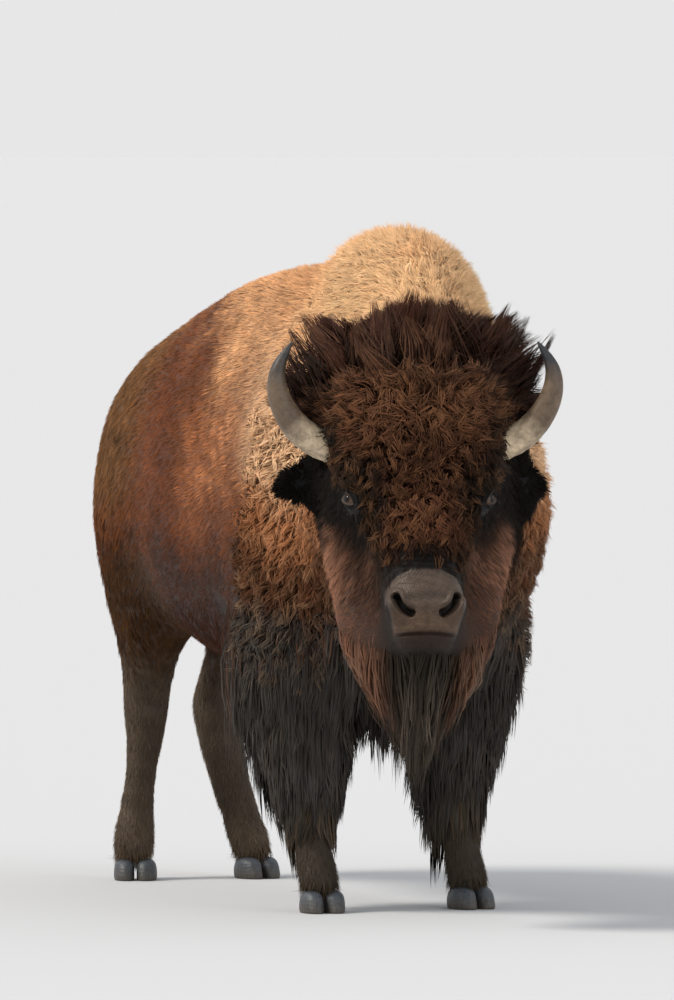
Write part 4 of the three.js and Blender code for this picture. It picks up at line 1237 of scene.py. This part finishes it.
growCoat("coat_tail", {
    "locks": 900, "length": 0.05, "width": 0.0060, "rings": 3, "layers": (0.5, 1.0),
    "longer": lambda p: 1 + 2.8 * rise(p[:, 2], 1.08, 0.95),
    "clump": 7, "gather": 0.4, "follow": False, "lift": 0.05, "stray": 0.08, "seed": 114,
}, isTail, beardFlow, longHair)

# Horns: keratin grown in thin sheaths, rough and ringed at the root, worn smooth and dark at the tip.
hornSet = {"levels": 2, "flat": 0.02, "ridge": 0.0011, "rings": 150, "across": (0.15, 0.19), "height": (0.02, 0.25)}
hornColours = {"base": "e6cfae", "middle": "6a5846", "tip": "24262a", "streak": "4a3a2b"}
hornStops = ((0.0, "base"), (0.22, "base"), (0.46, "middle"), (0.70, "middle"), (0.86, "tip"))
keratin, tree, shader = newMaterial("weathered horn keratin", Roughness=0.48, Specular_IOR_Level=0.45)
along = addNode(tree, "ShaderNodeAttribute", {"attribute_name": "along"})
place = addNode(tree, "ShaderNodeTexCoord").outputs["Object"]
ramp = addNode(tree, "ShaderNodeValToRGB", Fac=along.outputs["Fac"])
for position, key in hornStops:
    ramp.color_ramp.elements.new(position).color = (*linear(hornColours[key]), 1)
ramp.color_ramp.elements.remove(ramp.color_ramp.elements[0])
ramp.color_ramp.elements[-1].color = (*linear(hornColours["tip"]), 1)
# Grain of about 18 mm, and flakes of about 40 mm with dark stains in them.
grain = addNode(tree, "ShaderNodeTexNoise", {"Scale": 55.0, "Detail": 5.0, "Roughness": 0.65}, Vector=place)
flakes = addNode(tree, "ShaderNodeTexNoise", {"Scale": 26.0, "Detail": 6.0, "Roughness": 0.7}, Vector=place)
stains = addNode(tree, "ShaderNodeMapRange", fromNoise(0.46, 0.66, 0.0, 0.6), Value=flakes.outputs[0])
dark = addNode(tree, "ShaderNodeMix", {"data_type": "RGBA"})
tree.links.new(stains.outputs[0], dark.inputs[0])
tree.links.new(ramp.outputs[0], dark.inputs[6])
dark.inputs[7].default_value = (*linear(hornColours["streak"]), 1)
patterned(shader, dark.outputs[2], grain.outputs[0], fromNoise(0.3, 0.7, 0.7, 1.25), 0.9, 0.002)
for label in ("left", "right"):
    horn = nodeCopy(f"horn_{label}")
    bmesh.ops.dissolve_limit(horn, angle_limit=hornSet["flat"], verts=horn.verts, edges=horn.edges)
    obj, mesh = subdivided(horn, f"horn_{label}_keratin", hornSet["levels"])
    places = vertsOf(mesh)
    left, back, high = onLevel(places).T
    # How far along the horn: outwards first, then up.
    outwards = np.clip((np.abs(left) - hornSet["across"][0]) / hornSet["across"][1], 0, 1)
    share = outwards * 0.42 + np.clip((high - hornSet["height"][0]) / hornSet["height"][1], 0, 1) * 0.58
    rings = hornSet["ridge"] * np.sin(share * hornSet["rings"] + 2 * mottle(places, 0.05, 31))
    setVerts(mesh, places + vertNormals(mesh) * (rings * rise(share, 0.55, 0.2))[:, None])
    setShares(mesh, "along", share)
    mesh.materials.append(keratin)
    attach(obj, "root")
    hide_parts(f"horn_{label}")
print("horns made")

# Eyes: wet, with a dark brown iris under a clear cornea, so one sharp light shows in each.
eyeLook = {"segments": 32, "rings": 24, "iris": 0.62, "pupil": 0.34, "bulge": 0.0016, "slack": 0.0005}
eyeColours = {"iris": "2a180d", "pupil": "0c0705", "white": "5a4636"}
wetEye, tree, shader = newMaterial("wet brown eye", Roughness=0.08, IOR=1.34)
join(shader, Base_Color=addNode(tree, "ShaderNodeAttribute", {"attribute_name": "eyeTint"}).outputs["Color"])
for label, sign in (("left", 1), ("right", -1)):
    eyeball = bmesh.new()
    bmesh.ops.create_uvsphere(
        eyeball, u_segments=eyeLook["segments"], v_segments=eyeLook["rings"],
        radius=eyeSet["radius"] - eyeLook["slack"])
    mesh = meshOf(eyeball, f"eyeball_{label}")
    gaze, corner, lift = eyeAxes(sign)
    local = vertsOf(mesh) + origin
    ways = unit(local)
    off = np.arccos(np.clip(ways[:, 2], -1, 1))  # the angle off the gaze
    places = local + ways * (eyeLook["bulge"] * rise(off, eyeLook["iris"], 0.2))[:, None]
    setVerts(mesh, eyeCentre(sign) + places @ np.array([corner, np.cross(gaze, corner), gaze]))
    iris = rise(off, eyeLook["iris"] + 0.06, eyeLook["iris"] - 0.02)
    wide = np.hypot(ways[:, 0] / 1.5, ways[:, 1])  # the pupil is a wide oval
    pupil = rise(wide, eyeLook["pupil"], eyeLook["pupil"] - 0.08) * iris
    colours = np.tile(linear(eyeColours["white"]), (len(local), 1))
    colours = merged(colours, linear(eyeColours["iris"]), iris)
    setColours(mesh, "eyeTint", merged(colours, linear(eyeColours["pupil"]) * 0.3, pupil))
    smoothShade(mesh)
    obj = addObject(f"eyeball_{label}", mesh)
    mesh.materials.append(wetEye)
    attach(obj, "root")
    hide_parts(f"eye_{label}")

# Hooves: blue-grey horn with fine growth rings, scuffed and dusty near the ground.
hoofSet = {"levels": 2, "flat": 0.05, "solesUnder": 0.002, "edge": 0.003, "dust": 0.045}
hoofColours = {"high": "3f444a", "low": "453f37"}
hoofHorn, tree, shader = newMaterial("blue grey hoof horn", Roughness=0.5, Specular_IOR_Level=0.4)
place = addNode(tree, "ShaderNodeTexCoord").outputs["Object"]
split = addNode(tree, "ShaderNodeSeparateXYZ", Vector=place)
# Growth rings about 10 mm apart, and scuffs about 4 mm wide and 30 mm high.
rings = addNode(
    tree, "ShaderNodeTexWave", {"bands_direction": "Z", "Scale": 32.0, "Distortion": 5.0, "Detail": 3.0}, Vector=place)
drawn = addNode(tree, "ShaderNodeVectorMath", {"operation": "MULTIPLY"}, Vector=place)
drawn.inputs[1].default_value = (260, 260, 35)
scuffs = addNode(tree, "ShaderNodeTexNoise", {"Scale": 1.0, "Detail": 4.0}, Vector=drawn.outputs[0])
height = addNode(tree, "ShaderNodeMapRange", fromNoise(0.0, hoofSet["dust"], 0.0, 1.0), Value=split.outputs["Z"])
dark = addNode(tree, "ShaderNodeMix", {"data_type": "RGBA"})
tree.links.new(height.outputs[0], dark.inputs[0])
dark.inputs[6].default_value = (*linear(hoofColours["low"]), 1)
dark.inputs[7].default_value = (*linear(hoofColours["high"]), 1)
patterned(shader, dark.outputs[2], scuffs.outputs[0], fromNoise(0.3, 0.7, 0.65, 1.35), 0.18, 0.0015, rings.outputs[0])
for foot, claw in itertools.product(("fore_left", "fore_right", "hind_left", "hind_right"), ("outer", "inner")):
    node = f"hoof_{foot}_{claw}"
    hoof = nodeCopy(node)
    bmesh.ops.dissolve_limit(hoof, angle_limit=hoofSet["flat"], verts=hoof.verts, edges=hoof.edges)
    soleEdges = [edge for edge in hoof.edges if all(vert.co.z < hoofSet["solesUnder"] for vert in edge.verts)]
    bmesh.ops.bevel(
        hoof, geom=soleEdges, offset=hoofSet["edge"], affect="EDGES", segments=2, profile=0.5, material=-1)
    obj, mesh = subdivided(hoof, f"{node}_horn", hoofSet["levels"])
    mesh.materials.append(hoofHorn)
    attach(obj, "root")
    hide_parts(node)
print("hooves made")

# A painted studio floor: pale and matt, so the shadow shows softly.
stageSet = {"floor": "c1c3c6", "radius": 2500, "segments": 96}
floorShape = bmesh.new()
bmesh.ops.create_circle(floorShape, cap_ends=True, segments=stageSet["segments"], radius=stageSet["radius"])
floor = addObject("floor", meshOf(floorShape, "floor"))
paintShare = linear(stageSet["floor"])
paint, tree, shader = newMaterial(
    "matt studio floor paint", Roughness=0.9, Specular_IOR_Level=0.1, Base_Color=(*paintShare, 1))
floor.data.materials.append(paint)

view = {"angle": 22.4, "far": 30.0924, "aside": -0.12, "height": 2.01, "pitch": 1.77, "lens": 410.4}
angle, pitch = math.radians(view["angle"]), math.radians(view["pitch"])
toCamera = np.array([-math.sin(angle), -math.cos(angle), 0.0])
viewRight = np.array([math.cos(angle), -math.sin(angle), 0.0])

suns = {  # the ways are told by the camera: right, towards it, up
    "key": {"way": (-0.9, 0.15, 1.0), "strength": 2.7, "colour": (1.0, 0.94, 0.86), "spread": 18},
    "fill": {"way": (0.8, 0.9, 0.5), "strength": 0.6, "colour": (0.92, 0.95, 1.0), "spread": 40},
}
onFloor = np.zeros(3)
for name, sun in suns.items():
    way = np.array(sun["way"]) @ np.array([viewRight, toCamera, up])
    lamp = bpy.data.lights.new(name, "SUN")
    lamp.energy, lamp.color, lamp.angle = sun["strength"], sun["colour"], math.radians(sun["spread"])
    obj = bpy.data.objects.new(name, lamp)
    obj.rotation_euler = Vector(way).to_track_quat("Z", "Y").to_euler()
    scene.collection.objects.link(obj)
    onFloor += np.array(sun["colour"]) * sun["strength"] * unit(way)[2] / math.pi

# The sky is as bright as the lit floor, so the floor runs into it without an edge.
world = bpy.data.worlds.new("studio")
scene.world = world
world.use_nodes = True
background = world.node_tree.nodes["Background"]
background.inputs["Color"].default_value = (*(paintShare * onFloor / (1 - paintShare)), 1)
background.inputs["Strength"].default_value = 1.0

camera = bpy.data.cameras.new("camera")
camera.lens, camera.sensor_width, camera.sensor_fit = view["lens"], 36, "AUTO"
camera.clip_end = 5000
cameraObject = bpy.data.objects.new("camera", camera)
cameraObject.location = Vector(origin + toCamera * view["far"] + viewRight * view["aside"] + up * view["height"])
aim = -toCamera * math.cos(pitch) - up * math.sin(pitch)
cameraObject.rotation_euler = Vector(aim).to_track_quat("-Z", "Y").to_euler()
scene.collection.objects.link(cameraObject)
scene.camera = cameraObject
scene.view_settings.view_transform = "Standard"
print("stage set")
